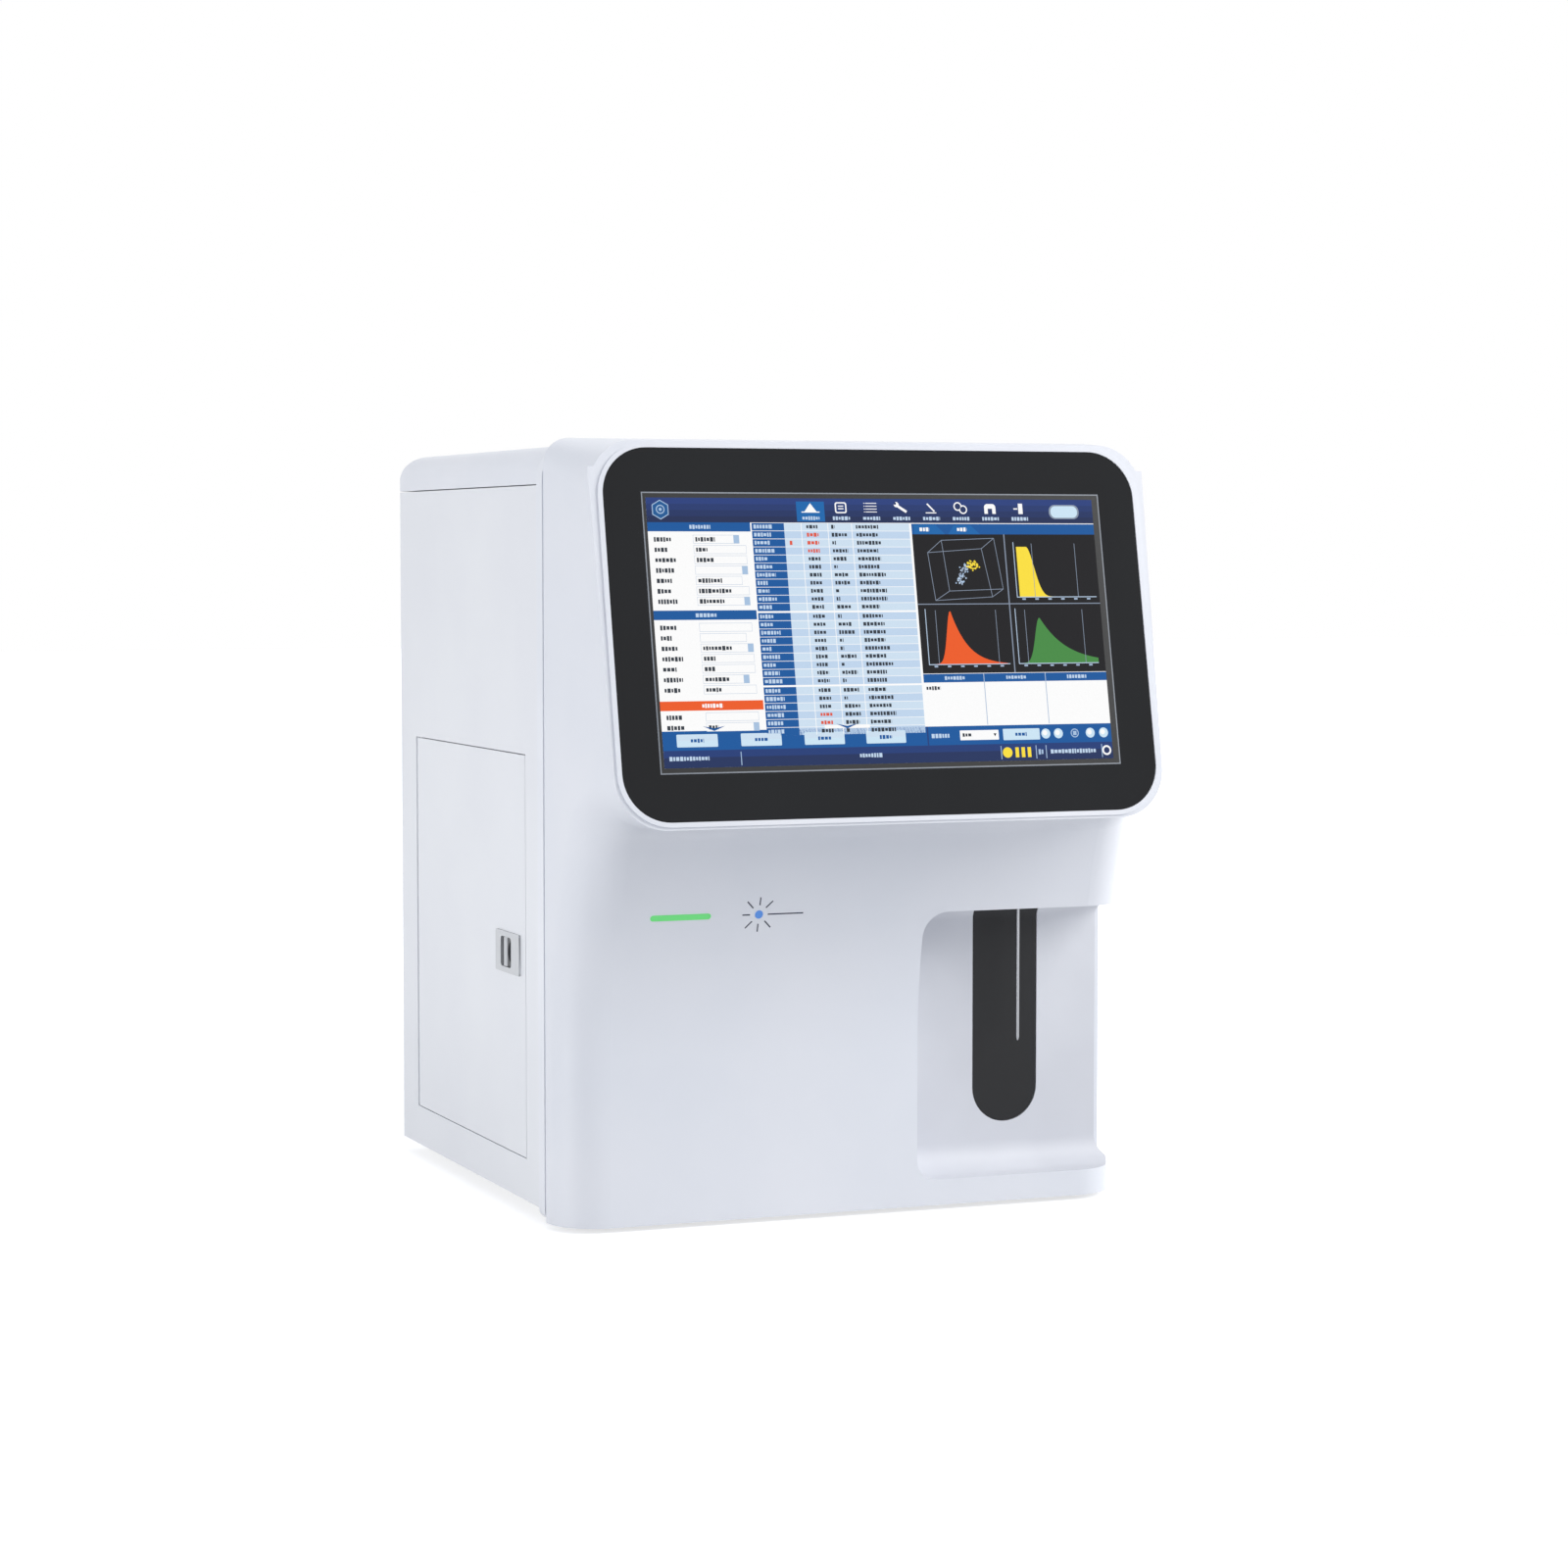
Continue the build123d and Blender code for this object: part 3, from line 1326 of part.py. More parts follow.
supply_width = 98.0
supply_length = 95.0
supply_height = 62.0
supply_x = inner_x - 6.5 - supply_width / 2
supply_back = panel_back - 43.5
with BuildPart() as power_supply:
    box_between(
        (supply_x - supply_width / 2, supply_back - supply_length, deck_z),
        (supply_x + supply_width / 2, supply_back, deck_z + supply_height),
    )
    chamfer(power_supply.edges().filter_by(Axis.Z), 2.0)
    with BuildSketch(Plane.XY.offset(deck_z + supply_height)):
        with Locations((supply_x, supply_back - supply_length / 2)):
            with GridLocations(0.09 * supply_width, 1, 7, 1):
                SlotOverall(0.6 * supply_length, 0.03 * supply_width, rotation=90)
    extrude(amount=-1.5, mode=Mode.SUBTRACT)
save(power_supply, "power_supply")

# Rear fittings
inlet_flange = 2.0
socket_z = inlet_z - 12.0
rocker_z = inlet_z + 13.0
rocker_width = 13.0
rocker_height = 19.0
rocker_pin = 1.5
with BuildPart() as power_inlet:
    box_between(
        (inlet_x - inlet_width / 2, rear_y - inlet_depth, inlet_z - inlet_height / 2),
        (inlet_x + inlet_width / 2, rear_y, inlet_z + inlet_height / 2),
    )
    box_between(
        (inlet_x - inlet_width / 2 - 3, rear_y, inlet_z - inlet_height / 2 - 3),
        (inlet_x + inlet_width / 2 + 3, rear_y + inlet_flange, inlet_z + inlet_height / 2 + 3),
    )
    fillet(power_inlet.faces().sort_by(Axis.Y)[-1].edges(), 0.8)
    box_between(
        (inlet_x - socket_width / 2, rear_y - 15, socket_z - socket_height / 2),
        (inlet_x + socket_width / 2, rear_y + inlet_flange, socket_z + socket_height / 2),
        Mode.SUBTRACT,
    )
    for blade_x, blade_up in ((-6, 0), (0, 3), (6, 0)):
        box_between(
            (inlet_x + blade_x - 1, rear_y - 15, socket_z + blade_up - 2),
            (inlet_x + blade_x + 1, rear_y - 3, socket_z + blade_up + 2),
        )
    box_between(
        (inlet_x - rocker_width / 2 - seam_gap, rear_y - 15, rocker_z - rocker_height / 2 - seam_gap),
        (
            inlet_x + rocker_width / 2 + seam_gap,
            rear_y + inlet_flange,
            rocker_z + rocker_height / 2 + seam_gap,
        ),
        Mode.SUBTRACT,
    )
    with BuildSketch(Plane.YZ.offset(inlet_x - rocker_width / 2 - 3)):
        with Locations((rear_y - 4, rocker_z)):
            Circle(rocker_pin + run_gap)
    extrude(amount=rocker_width + 6, mode=Mode.SUBTRACT)
save(power_inlet, "power_inlet")

with BuildPart() as power_rocker:
    with BuildSketch(Plane.YZ.offset(inlet_x - rocker_width / 2)):
        with Locations((rear_y - 4, rocker_z)):
            Circle(3.5)
        with BuildLine():
            Polyline(
                (rear_y - 4, rocker_z - 3.5),
                (rear_y + 1, rocker_z - rocker_height / 2 + 1.2),
                (rear_y + inlet_flange + 2.5, rocker_z - rocker_height / 2 + 1.2),
                (rear_y + inlet_flange - 0.2, rocker_z + 1),
                (rear_y + inlet_flange, rocker_z + rocker_height / 2 - 1.2),
                (rear_y - 2.5, rocker_z + rocker_height / 2 - 1.5),
                (rear_y - 4, rocker_z + 3.5),
                close=True,
            )
        make_face()
    extrude(amount=rocker_width)
    with BuildSketch(Plane.YZ.offset(inlet_x - rocker_width / 2 - 2.5)):
        with Locations((rear_y - 4, rocker_z)):
            Circle(rocker_pin)
    extrude(amount=rocker_width + 5)
save(power_rocker, "power_rocker")

with BuildPart() as data_ports:
    box_between(
        (ports_x - ports_width / 2, panel_back - 14, ports_z - ports_height / 2),
        (ports_x + ports_width / 2, rear_y, ports_z + ports_height / 2),
    )
    for port_left, port_wide, port_tall in ((4, 13, 6), (20, 13, 6), (38, 16, 13)):
        box_between(
            (ports_x - ports_width / 2 + port_left, rear_y - 12, ports_z - port_tall / 2),
            (ports_x - ports_width / 2 + port_left + port_wide, rear_y, ports_z + port_tall / 2),
            Mode.SUBTRACT,
        )
    for port_left, port_wide in ((6, 9), (22, 9)):
        box_between(
            (ports_x - ports_width / 2 + port_left, rear_y - 12, ports_z - 1),
            (ports_x - ports_width / 2 + port_left + port_wide, rear_y - 1, ports_z + 1),
        )
save(data_ports, "data_ports")

with BuildPart() as hose_fittings:
    for index in range(fitting_count):
        barb_x = fitting_x + (index - (fitting_count - 1) / 2) * fitting_pitch
        with BuildPart(mode=Mode.ADD):
            with BuildSketch(Plane.YZ.offset(barb_x)):
                with BuildLine():
                    Polyline(
                        (panel_back - 6, fitting_z),
                        (panel_back - 6, fitting_z + barb_radius + 4),
                        (panel_back, fitting_z + barb_radius + 4),
                        (panel_back, fitting_z + barb_radius + 1),
                        (rear_y, fitting_z + barb_radius + 1),
                        (rear_y, fitting_z + barb_radius + 4),
                        (rear_y + 3, fitting_z + barb_radius + 4),
                        (rear_y + 3, fitting_z + barb_radius - 1),
                        (rear_y + 5, fitting_z + barb_radius - 1),
                        (rear_y + 5, fitting_z + barb_radius),
                        (rear_y + 9, fitting_z + barb_radius - 1),
                        (rear_y + 9, fitting_z + barb_radius),
                        (rear_y + rear_reach, fitting_z + barb_radius - 1.2),
                        (rear_y + rear_reach, fitting_z),
                        close=True,
                    )
                make_face()
            revolve(axis=Axis((barb_x, 0, fitting_z), (0, 1, 0)))
    with BuildSketch(Plane.XZ.offset(-(rear_y + rear_reach))):
        with Locations((fitting_x, fitting_z)):
            with GridLocations(fitting_pitch, fitting_pitch, fitting_count, 1):
                Circle(1.2)
    extrude(amount=rear_reach + 8, mode=Mode.SUBTRACT)
save(hose_fittings, "hose_fittings")

# Cooling fan inside the rear panel, with a wire guard outside
fan_back = panel_back
fan_middle = fan_back - fan_depth / 2
fan_hub = 17.0
fan_blades = 7
with BuildPart() as fan_frame:
    with BuildSketch(Plane.XZ.offset(-fan_back)):
        with Locations((fan_x, fan_z)):
            RectangleRounded(fan_size, fan_size, 4.0)
            Circle(fan_bore, mode=Mode.SUBTRACT)
            with GridLocations(fan_size - 8.5, fan_size - 8.5, 2, 2):
                Circle(2.2, mode=Mode.SUBTRACT)
    extrude(amount=fan_depth)
    with BuildSketch(Plane.XZ.offset(-(fan_back - fan_depth + 2))):
        with Locations((fan_x, fan_z)):
            Circle(fan_hub)
            with PolarLocations(fan_bore / 2, 3):
                Rectangle(fan_bore + 4, 4)
    extrude(amount=2)
    with BuildSketch(Plane.XZ.offset(-(fan_back - fan_depth + 10))):
        with Locations((fan_x, fan_z)):
            Circle(5.0)
            Circle(pump_shaft / 2 + run_gap, mode=Mode.SUBTRACT)
    extrude(amount=8)
    with BuildSketch(Plane.XZ.offset(-(fan_back - fan_depth + 4))):
        with Locations((fan_x, fan_z)):
            Circle(pump_shaft / 2 + run_gap)
    extrude(amount=8, mode=Mode.SUBTRACT)
save(fan_frame, "fan_frame")

with BuildPart() as fan_rotor:
    hub_front = fan_back - fan_depth + 2 + seam_gap
    with BuildSketch(Plane.XZ.offset(-(fan_back - 2))):
        with Locations((fan_x, fan_z)):
            Circle(fan_hub)
    extrude(amount=fan_back - 2 - hub_front)
    with BuildSketch(Plane.XZ.offset(-(fan_back - 6))):
        with Locations((fan_x, fan_z)):
            Circle(fan_hub - 2)
    extrude(amount=fan_depth, mode=Mode.SUBTRACT)
    with BuildSketch(Plane.XZ.offset(-(fan_back - 4))):
        with Locations((fan_x, fan_z)):
            Circle(pump_shaft / 2)
    extrude(amount=fan_depth - 8)
    for index in range(fan_blades):
        with BuildPart(mode=Mode.PRIVATE) as blade:
            Box(sheet - 0.4, 24.0, fan_bore - fan_hub - 1.4, align=(Align.CENTER, Align.CENTER, Align.MIN))
        turned = blade.part.rotate(Axis.Z, 38).moved(Location((0, 0, fan_hub - 0.8)))
        turned = turned.rotate(Axis.Y, index * 360 / fan_blades)
        add(turned.moved(Location((fan_x, fan_middle, fan_z))))
save(fan_rotor, "fan_rotor")

guard_wire = 2.0
guard_rings = (10.0, 18.0, 26.0, 34.0, fan_bore + 1)
with BuildPart() as fan_guard:
    with BuildSketch(Plane.XZ.offset(-(rear_y + guard_wire))):
        with Locations((fan_x, fan_z)):
            for ring in guard_rings:
                Circle(ring + guard_wire / 2)
                Circle(ring - guard_wire / 2, mode=Mode.SUBTRACT)
            Circle(guard_rings[0] - guard_wire)
            for turn in (45, 135):
                Rectangle((fan_size - 8.5) * sqrt(2) + 8, 1.5 * guard_wire, rotation=turn)
            with GridLocations(fan_size - 8.5, fan_size - 8.5, 2, 2):
                Circle(4.0)
    extrude(amount=guard_wire)
save(fan_guard, "fan_guard")
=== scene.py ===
import bpy
from math import cos, exp, pi, radians, sin, sqrt
from random import Random
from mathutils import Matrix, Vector


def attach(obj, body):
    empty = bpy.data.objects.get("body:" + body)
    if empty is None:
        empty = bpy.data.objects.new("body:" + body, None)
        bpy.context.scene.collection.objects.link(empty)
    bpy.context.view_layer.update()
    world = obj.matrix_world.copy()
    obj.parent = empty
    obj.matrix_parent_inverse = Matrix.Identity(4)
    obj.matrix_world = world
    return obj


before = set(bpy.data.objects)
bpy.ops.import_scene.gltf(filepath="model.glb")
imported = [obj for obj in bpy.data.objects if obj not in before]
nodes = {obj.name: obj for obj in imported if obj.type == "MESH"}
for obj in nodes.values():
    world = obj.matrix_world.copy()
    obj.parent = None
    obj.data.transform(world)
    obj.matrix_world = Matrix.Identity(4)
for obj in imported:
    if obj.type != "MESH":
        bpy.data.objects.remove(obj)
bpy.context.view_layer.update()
mm = 0.001
print("frame loaded,", len(nodes), "CAD nodes")


# Colours and material nodes
def linear(hexColour):
    channels = [int(hexColour[i:i + 2], 16) / 255 for i in (1, 3, 5)]
    values = [c / 12.92 if c <= 0.04045 else ((c + 0.055) / 1.055) ** 2.4 for c in channels]
    return (*values, 1.0)


def addNode(tree, kind, settings=None, links=None):
    node = tree.nodes.new(kind)
    for key, value in (settings or {}).items():
        if isinstance(key, int) or key in node.inputs:
            node.inputs[key].default_value = value
        else:
            setattr(node, key, value)
    for key, source in (links or {}).items():
        tree.links.new(source, node.inputs[key])
    return node


def newMaterial(name):
    material = bpy.data.materials.new(name)
    material.use_nodes = True
    material.node_tree.nodes.clear()
    return material, material.node_tree


def objectPlace(tree):
    return addNode(tree, "ShaderNodeTexCoord").outputs["Object"]


# Noise whose lumps are about this many mm across
def lumps(tree, place, size, **more):
    settings = {"Scale": 1 / (size * mm), **more}
    return addNode(tree, "ShaderNodeTexNoise", settings, {"Vector": place}).outputs[0]


def between(tree, value, low, high):
    return addNode(tree, "ShaderNodeMapRange", {"To Min": low, "To Max": high}, {"Value": value}).outputs[0]


def tinted(tree, colour, tint, share):
    ends = {"data_type": "RGBA", 6: linear(colour), 7: linear(tint)}
    return addNode(tree, "ShaderNodeMix", ends, {0: share}).outputs[2]


def bumped(tree, height, strength, depth):
    settings = {"Strength": strength, "Distance": depth * mm}
    return addNode(tree, "ShaderNodeBump", settings, {"Height": height}).outputs[0]


def finishMaterial(tree, settings, links):
    shader = addNode(tree, "ShaderNodeBsdfPrincipled", settings, links)
    addNode(tree, "ShaderNodeOutputMaterial", None, {"Surface": shader.outputs[0]})


grainLook = {"patch": 120, "driftFrom": 0.35, "driftTo": 0.65, "spread": 0.04, "bump": 0.35}


# A base colour that drifts to a tint in soft patches, over a fine bump whose grain and depth are in mm
def grainMaterial(name, colour, tint, roughness, grain, depth, **more):
    material, tree = newMaterial(name)
    place = objectPlace(tree)
    drift = addNode(
        tree, "ShaderNodeMapRange",
        {"From Min": grainLook["driftFrom"], "From Max": grainLook["driftTo"]},
        {"Value": lumps(tree, place, grainLook["patch"], Detail=3.0)},
    )
    fine = lumps(tree, place, grain, Detail=2.0)
    finishMaterial(tree, more, {
        "Base Color": tinted(tree, colour, tint, drift.outputs[0]),
        "Roughness": between(tree, fine, roughness - grainLook["spread"], roughness + grainLook["spread"]),
        "Normal": bumped(tree, fine, grainLook["bump"], depth),
    })
    return material


brushLook = {"stretch": 60, "smoother": 0.06, "rougher": 0.08, "bump": 0.2, "depth": 0.02}


# A bare metal with fine lines along one axis, whose pitch across them is in mm
def brushedMaterial(name, colour, tint, roughness, pitch, along):
    material, tree = newMaterial(name)
    stretch = [1 / (pitch * mm)] * 3
    stretch[along] = stretch[along] / brushLook["stretch"]
    mapped = addNode(tree, "ShaderNodeMapping", {"Scale": stretch}, {"Vector": objectPlace(tree)})
    settings = {"Scale": 1.0, "Detail": 3.0}
    lines = addNode(tree, "ShaderNodeTexNoise", settings, {"Vector": mapped.outputs[0]}).outputs[0]
    low, high = roughness - brushLook["smoother"], roughness + brushLook["rougher"]
    finishMaterial(tree, {"Metallic": 1.0}, {
        "Base Color": tinted(tree, colour, tint, lines),
        "Roughness": between(tree, lines, low, high),
        "Normal": bumped(tree, lines, brushLook["bump"], brushLook["depth"]),
    })
    return material


clearLook = {"smear": 18, "spread": 0.06}


def clearMaterial(name, colour, roughness, ior, transmission):
    material, tree = newMaterial(name)
    smear = lumps(tree, objectPlace(tree), clearLook["smear"])
    settings = {"Base Color": linear(colour), "IOR": ior, "Transmission Weight": transmission}
    rough = between(tree, smear, roughness, roughness + clearLook["spread"])
    finishMaterial(tree, settings, {"Roughness": rough})
    return material


litLook = {"cloud": 6, "dim": 0.9, "bright": 1.1, "roughness": 0.35}


def litMaterial(name, colour, strength):
    material, tree = newMaterial(name)
    cloud = lumps(tree, objectPlace(tree), litLook["cloud"])
    settings = {
        "Base Color": linear(colour), "Emission Color": linear(colour), "Roughness": litLook["roughness"],
    }
    glow = between(tree, cloud, strength * litLook["dim"], strength * litLook["bright"])
    finishMaterial(tree, settings, {"Emission Strength": glow})
    return material


# Grains and pitches are in mm, and the shader's own IOR of 1.5 stays where the material gives none

# Moulded ABS: pale, slightly cool white with a fine spark-eroded grain that softens every highlight.
# The real grain is about 0.15 mm and is drawn at 0.6 mm so that it shows.
mouldedAbs = grainMaterial("ABS, moulded white", "#E4E6EC", "#DFE2E9", 0.42, 0.6, 0.02)
# The same white on the seam's frame, a touch paler and smoother
frameAbs = grainMaterial("ABS, moulded frame", "#E6E8EE", "#E0E3EA", 0.34, 0.6, 0.02)
# Powder coat on sheet steel: the same white again, with a faint orange peel 1.5 mm across
powderCoat = grainMaterial("Steel sheet, white powder coat", "#E6E8EC", "#E2E4E9", 0.42, 1.5, 0.03)
# A greyer and duller coat behind
rearCoat = grainMaterial("Steel sheet, grey powder coat", "#D2D5DA", "#CBCED4", 0.5, 1.2, 0.04)
# Cover glass printed black behind: near black with clear, weak reflections
blackGlass = grainMaterial(
    "Glass, black printed back", "#17191C", "#151619", 0.12, 40.0, 0.002, **{"Specular IOR Level": 0.24}
)
# Matt dark plastic round the display's panel
displayBlack = grainMaterial("Display, bezel", "#151618", "#101113", 0.4, 0.8, 0.01)
# Zinc plated sheet: dull silver with a soft mottled spangle about 8 mm across
zincSheet = grainMaterial("Steel sheet, zinc plated", "#A9ABAD", "#9A9DA0", 0.42, 8.0, 0.01, Metallic=1.0)
# Soft silver with upright tool lines
milledAlloy = brushedMaterial("Aluminium, milled", "#B9BABC", "#A7A9AB", 0.34, 0.5, 2)
# An even, silky black
blackAlloy = grainMaterial("Aluminium, black anodised", "#232427", "#1D1E20", 0.38, 0.7, 0.01)
# The probe's tube is so thin that its bright line is narrower than it is, so its steel is drawn darker
probeSteel = brushedMaterial("Stainless steel, drawn thin tube", "#A2A4A8", "#8F9195", 0.24, 0.4, 2)
# Bright, with fine draw lines
polishedSteel = brushedMaterial("Stainless steel, drawn", "#D5D6D8", "#BFC0C3", 0.2, 0.4, 2)
# Greyer and duller than drawn steel, on rails, screws and plungers
groundSteel = brushedMaterial("Steel, ground", "#C6C7C9", "#B2B3B6", 0.3, 0.5, 2)
# Tin on pressed sheet: its lines run across the sockets
portSteel = brushedMaterial("Steel, pressed and tinned", "#C2C3C6", "#AFB1B4", 0.3, 0.4, 0)
# A light neutral grey that stands off the white panel
latchPlastic = grainMaterial("ABS, moulded grey", "#C9CBCE", "#C3C5C9", 0.4, 0.6, 0.02)
# Black nylon with a dry, slightly rough skin
darkPlastic = grainMaterial("Nylon, moulded black", "#26272A", "#202124", 0.45, 0.7, 0.03)
# The aspirate key: darker than the nylon and with little shine
keyPlastic = grainMaterial(
    "PBT, moulded anthracite", "#15161A", "#131417", 0.45, 0.6, 0.02, **{"Specular IOR Level": 0.3}
)
# Satin black paint on round cans
motorPaint = grainMaterial("Motor can, black paint", "#222326", "#1B1C1E", 0.4, 1.0, 0.02)
# Warm white with a waxy gleam
acetal = grainMaterial("Acetal, machined white", "#E2E1DC", "#DAD9D3", 0.38, 0.9, 0.02, IOR=1.48)
# Dead matt, nearly black
rubber = grainMaterial("Rubber, moulded", "#2A2A2B", "#232324", 0.75, 0.8, 0.05, IOR=1.52)
# Cool pale grey, a little uneven from the drawing over its mould
linerPlastic = grainMaterial("Polystyrene, vacuum formed", "#DCDFE4", "#D5D8DE", 0.46, 2.0, 0.05, IOR=1.55)
# Mid grey, waxy and dull
trayPlastic = grainMaterial("Polypropylene, moulded grey", "#6F757B", "#686E74", 0.5, 0.8, 0.03, IOR=1.49)
# Blow-moulded HDPE: milky, waxy and slightly see-through at its edges
bottlePlastic = grainMaterial(
    "HDPE, blow moulded", "#E8E8E2", "#DEDFD8", 0.45, 3.0, 0.08, IOR=1.52,
    **{"Subsurface Weight": 0.3, "Subsurface Radius": (0.004, 0.004, 0.003), "Subsurface Scale": 1.0},
)
# Strong blue caps
capPlastic = grainMaterial("Polypropylene, moulded blue", "#2A5FA8", "#25569B", 0.42, 0.7, 0.03, IOR=1.49)
# Creamy white, duller than the bottles
tankPlastic = grainMaterial("HDPE, moulded white", "#DADBD7", "#D0D2CD", 0.5, 1.5, 0.04, IOR=1.52)
# Natural polypropylene: a colourless, waxy off-white
fittingPlastic = grainMaterial(
    "Polypropylene, moulded natural", "#DCDEDD", "#D3D5D4", 0.45, 0.8, 0.03, IOR=1.49
)
# Cloudy tube, half see-through
tubePlastic = clearMaterial("Silicone, extruded tube", "#DDE3E4", 0.18, 1.41, 0.55)
# Water-clear barrels with sharp reflections
barrelGlass = clearMaterial("Borosilicate glass, drawn", "#F2F6F8", 0.03, 1.47, 1.0)
# Clear blocks with a faint blue and slightly soft faces
acrylic = clearMaterial("Acrylic, machined and polished", "#E3EDF2", 0.08, 1.49, 0.8)
# Deep green varnish over the board
boardMask = grainMaterial("Glass epoxy, green solder mask", "#1F6B3C", "#195C32", 0.35, 0.8, 0.02, IOR=1.55)
# Light pipes that glow a little in an evenly lit room
greenLamp = litMaterial("Light pipe, green", "#62CC72", 0.28)
blueLamp = litMaterial("Light pipe, blue", "#4A7FC8", 0.3)
# Flat, matt print
navyInk = grainMaterial("Ink, screen printed navy", "#23283F", "#1F2439", 0.5, 0.8, 0.01)
# Label paper under a satin film, plain or with a coloured band
labelPaper = grainMaterial("Paper label, laminated", "#F0F1F2", "#EAEBEC", 0.38, 1.0, 0.01)
labelBlue = grainMaterial("Paper label, blue band", "#3C78BE", "#366EB2", 0.38, 1.0, 0.01)
labelTeal = grainMaterial("Paper label, teal band", "#2E9C98", "#298F8B", 0.38, 1.0, 0.01)
labelAmber = grainMaterial("Paper label, amber band", "#DE9A35", "#D08F2F", 0.38, 1.0, 0.01)

finishes = {
    "front_cover": mouldedAbs, "top_cover": mouldedAbs, "left_side_panel": powderCoat,
    "right_side_panel": powderCoat, "side_door": powderCoat, "seam_frame": frameAbs,
    "screen_glass": blackGlass, "lcd_panel": displayBlack, "screen_bracket": zincSheet,
    "status_light": greenLamp, "ready_lamp": blueLamp, "door_hinge_pins": polishedSteel,
    "latch_plate": latchPlastic, "latch_paddle": latchPlastic, "latch_bolt": darkPlastic,
    "aspirate_key": keyPlastic, "key_bracket": zincSheet, "key_switch": darkPlastic,
    "probe_bracket": zincSheet, "guide_rail": groundSteel, "lead_screw": groundSteel,
    "lift_motor": motorPaint, "probe_carriage": acetal, "sample_probe": probeSteel,
    "probe_wiper": acetal, "rear_panel": rearCoat, "panel_screws": polishedSteel,
    "base_plate": zincSheet, "feet": rubber, "reagent_liner": linerPlastic,
    "bottle_tray": trayPlastic, "reagent_bottles": bottlePlastic, "bottle_caps": capPlastic,
    "supply_tubes": tubePlastic, "mid_wall": zincSheet, "main_board": boardMask,
    "syringe_frame": milledAlloy, "diluent_barrel": barrelGlass, "sample_barrel": barrelGlass,
    "diluent_plunger": groundSteel, "sample_plunger": groundSteel, "syringe_motors": motorPaint,
    "valve_manifold": acrylic, "solenoid_valves": darkPlastic, "deck_plate": zincSheet,
    "counting_baths": acrylic, "optics_box": blackAlloy, "vacuum_tank": tankPlastic,
    "air_pump": darkPlastic, "waste_pump": darkPlastic, "pump_rotor": acetal,
    "power_supply": milledAlloy, "power_inlet": darkPlastic, "power_rocker": keyPlastic,
    "data_ports": portSteel, "hose_fittings": fittingPlastic, "fan_frame": darkPlastic,
    "fan_rotor": darkPlastic, "fan_guard": polishedSteel,
}
for nodeName, material in finishes.items():
    mesh = nodes[nodeName].data
    mesh.materials.clear()
    mesh.materials.append(material)
print("finishes given to", len(finishes), "CAD nodes of", len(nodes))


# Flat shapes that make up one piece: each is placed by a function of two coordinates and a layer
class Sheet:
    def __init__(self, place, inks):
        self.place = place
        self.inks = inks
        self.vertices = []
        self.faces = []
        self.faceInks = []

    def shape(self, corners, ink, layer=0):
        start = len(self.vertices)
        self.vertices += [self.place(across, up, layer) for across, up in corners]
        self.faces.append(list(range(start, len(self.vertices))))
        self.faceInks.append(list(self.inks).index(ink))

    def newPiece(self, name, body, slot):
        mesh = bpy.data.meshes.new(name)
        mesh.from_pydata(self.vertices, [], self.faces)
        for material in self.inks.values():
            mesh.materials.append(material)
        mesh.polygons.foreach_set("material_index", self.faceInks)
        mesh.validate()
        mesh.update()
        piece = bpy.data.objects.new(name, mesh)
        bpy.context.scene.collection.objects.link(piece)
        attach(piece, body)


# The display, in mm on the tilted glass: "left" to "high" is the lit area, counted up from the glass's
# lower edge, and "window" is the step round it
screen = {
    "rimY": -207.55, "rimZ": 233.5, "tilt": 11.54, "glassInset": 0.6, "rimWidth": 3.0,
    "left": -137.0, "right": 135.0, "low": 29.5, "high": 179.7, "aspect": 1.811,
    "windowHalf": 139.4, "windowLow": 26.2, "windowHigh": 182.9, "windowLine": 0.7,
    "edgeLift": 0.02, "stepLift": 0.035, "lift": 0.05, "layer": 0.02,
}
screenUp = Vector((0, sin(radians(screen["tilt"])), cos(radians(screen["tilt"]))))
screenOut = Vector((0, -cos(radians(screen["tilt"])), sin(radians(screen["tilt"]))))


def onGlass(x, up, out):
    point = Vector((x, screen["rimY"], screen["rimZ"]))
    point += screenUp * (up + screen["rimWidth"]) + screenOut * (out - screen["glassInset"])
    return point * mm


# The picture's own coordinates are shares of its width and height, from its left and top edges
def onPicture(u, v, layer):
    x = screen["left"] + u * (screen["right"] - screen["left"])
    up = screen["high"] - v * (screen["high"] - screen["low"])
    return onGlass(x, up, screen["lift"] + layer * screen["layer"])


inkHex = {
    "navy": "#1C3A78", "deep": "#1B2F5E", "blue": "#03579F", "sky": "#0A66AE", "pale": "#C2D8F0",
    "paler": "#D0E3F4", "white": "#FFFFFF", "grey": "#8A97AB", "ink": "#2E3640", "red": "#E4553C",
    "orange": "#F05B1B", "yellow": "#FEE23A", "green": "#458C42", "black": "#100F12", "line": "#A9BED8",
    "button": "#CFE8F8", "mist": "#A9C4E2", "badge": "#145895",
    "head1": "#243D7E", "head2": "#203770", "head3": "#1D3163", "head4": "#1B2B55",
}
# The real pixels are 0.15 mm apart and are drawn at 0.5 mm so that they can show
inkLook = {
    "pixel": 0.5, "glow": 0.95, "dim": 0.96, "bright": 1.04, "roughness": 0.18, "shine": 0.2,
    "unlit": (0.004, 0.004, 0.005, 1),
}


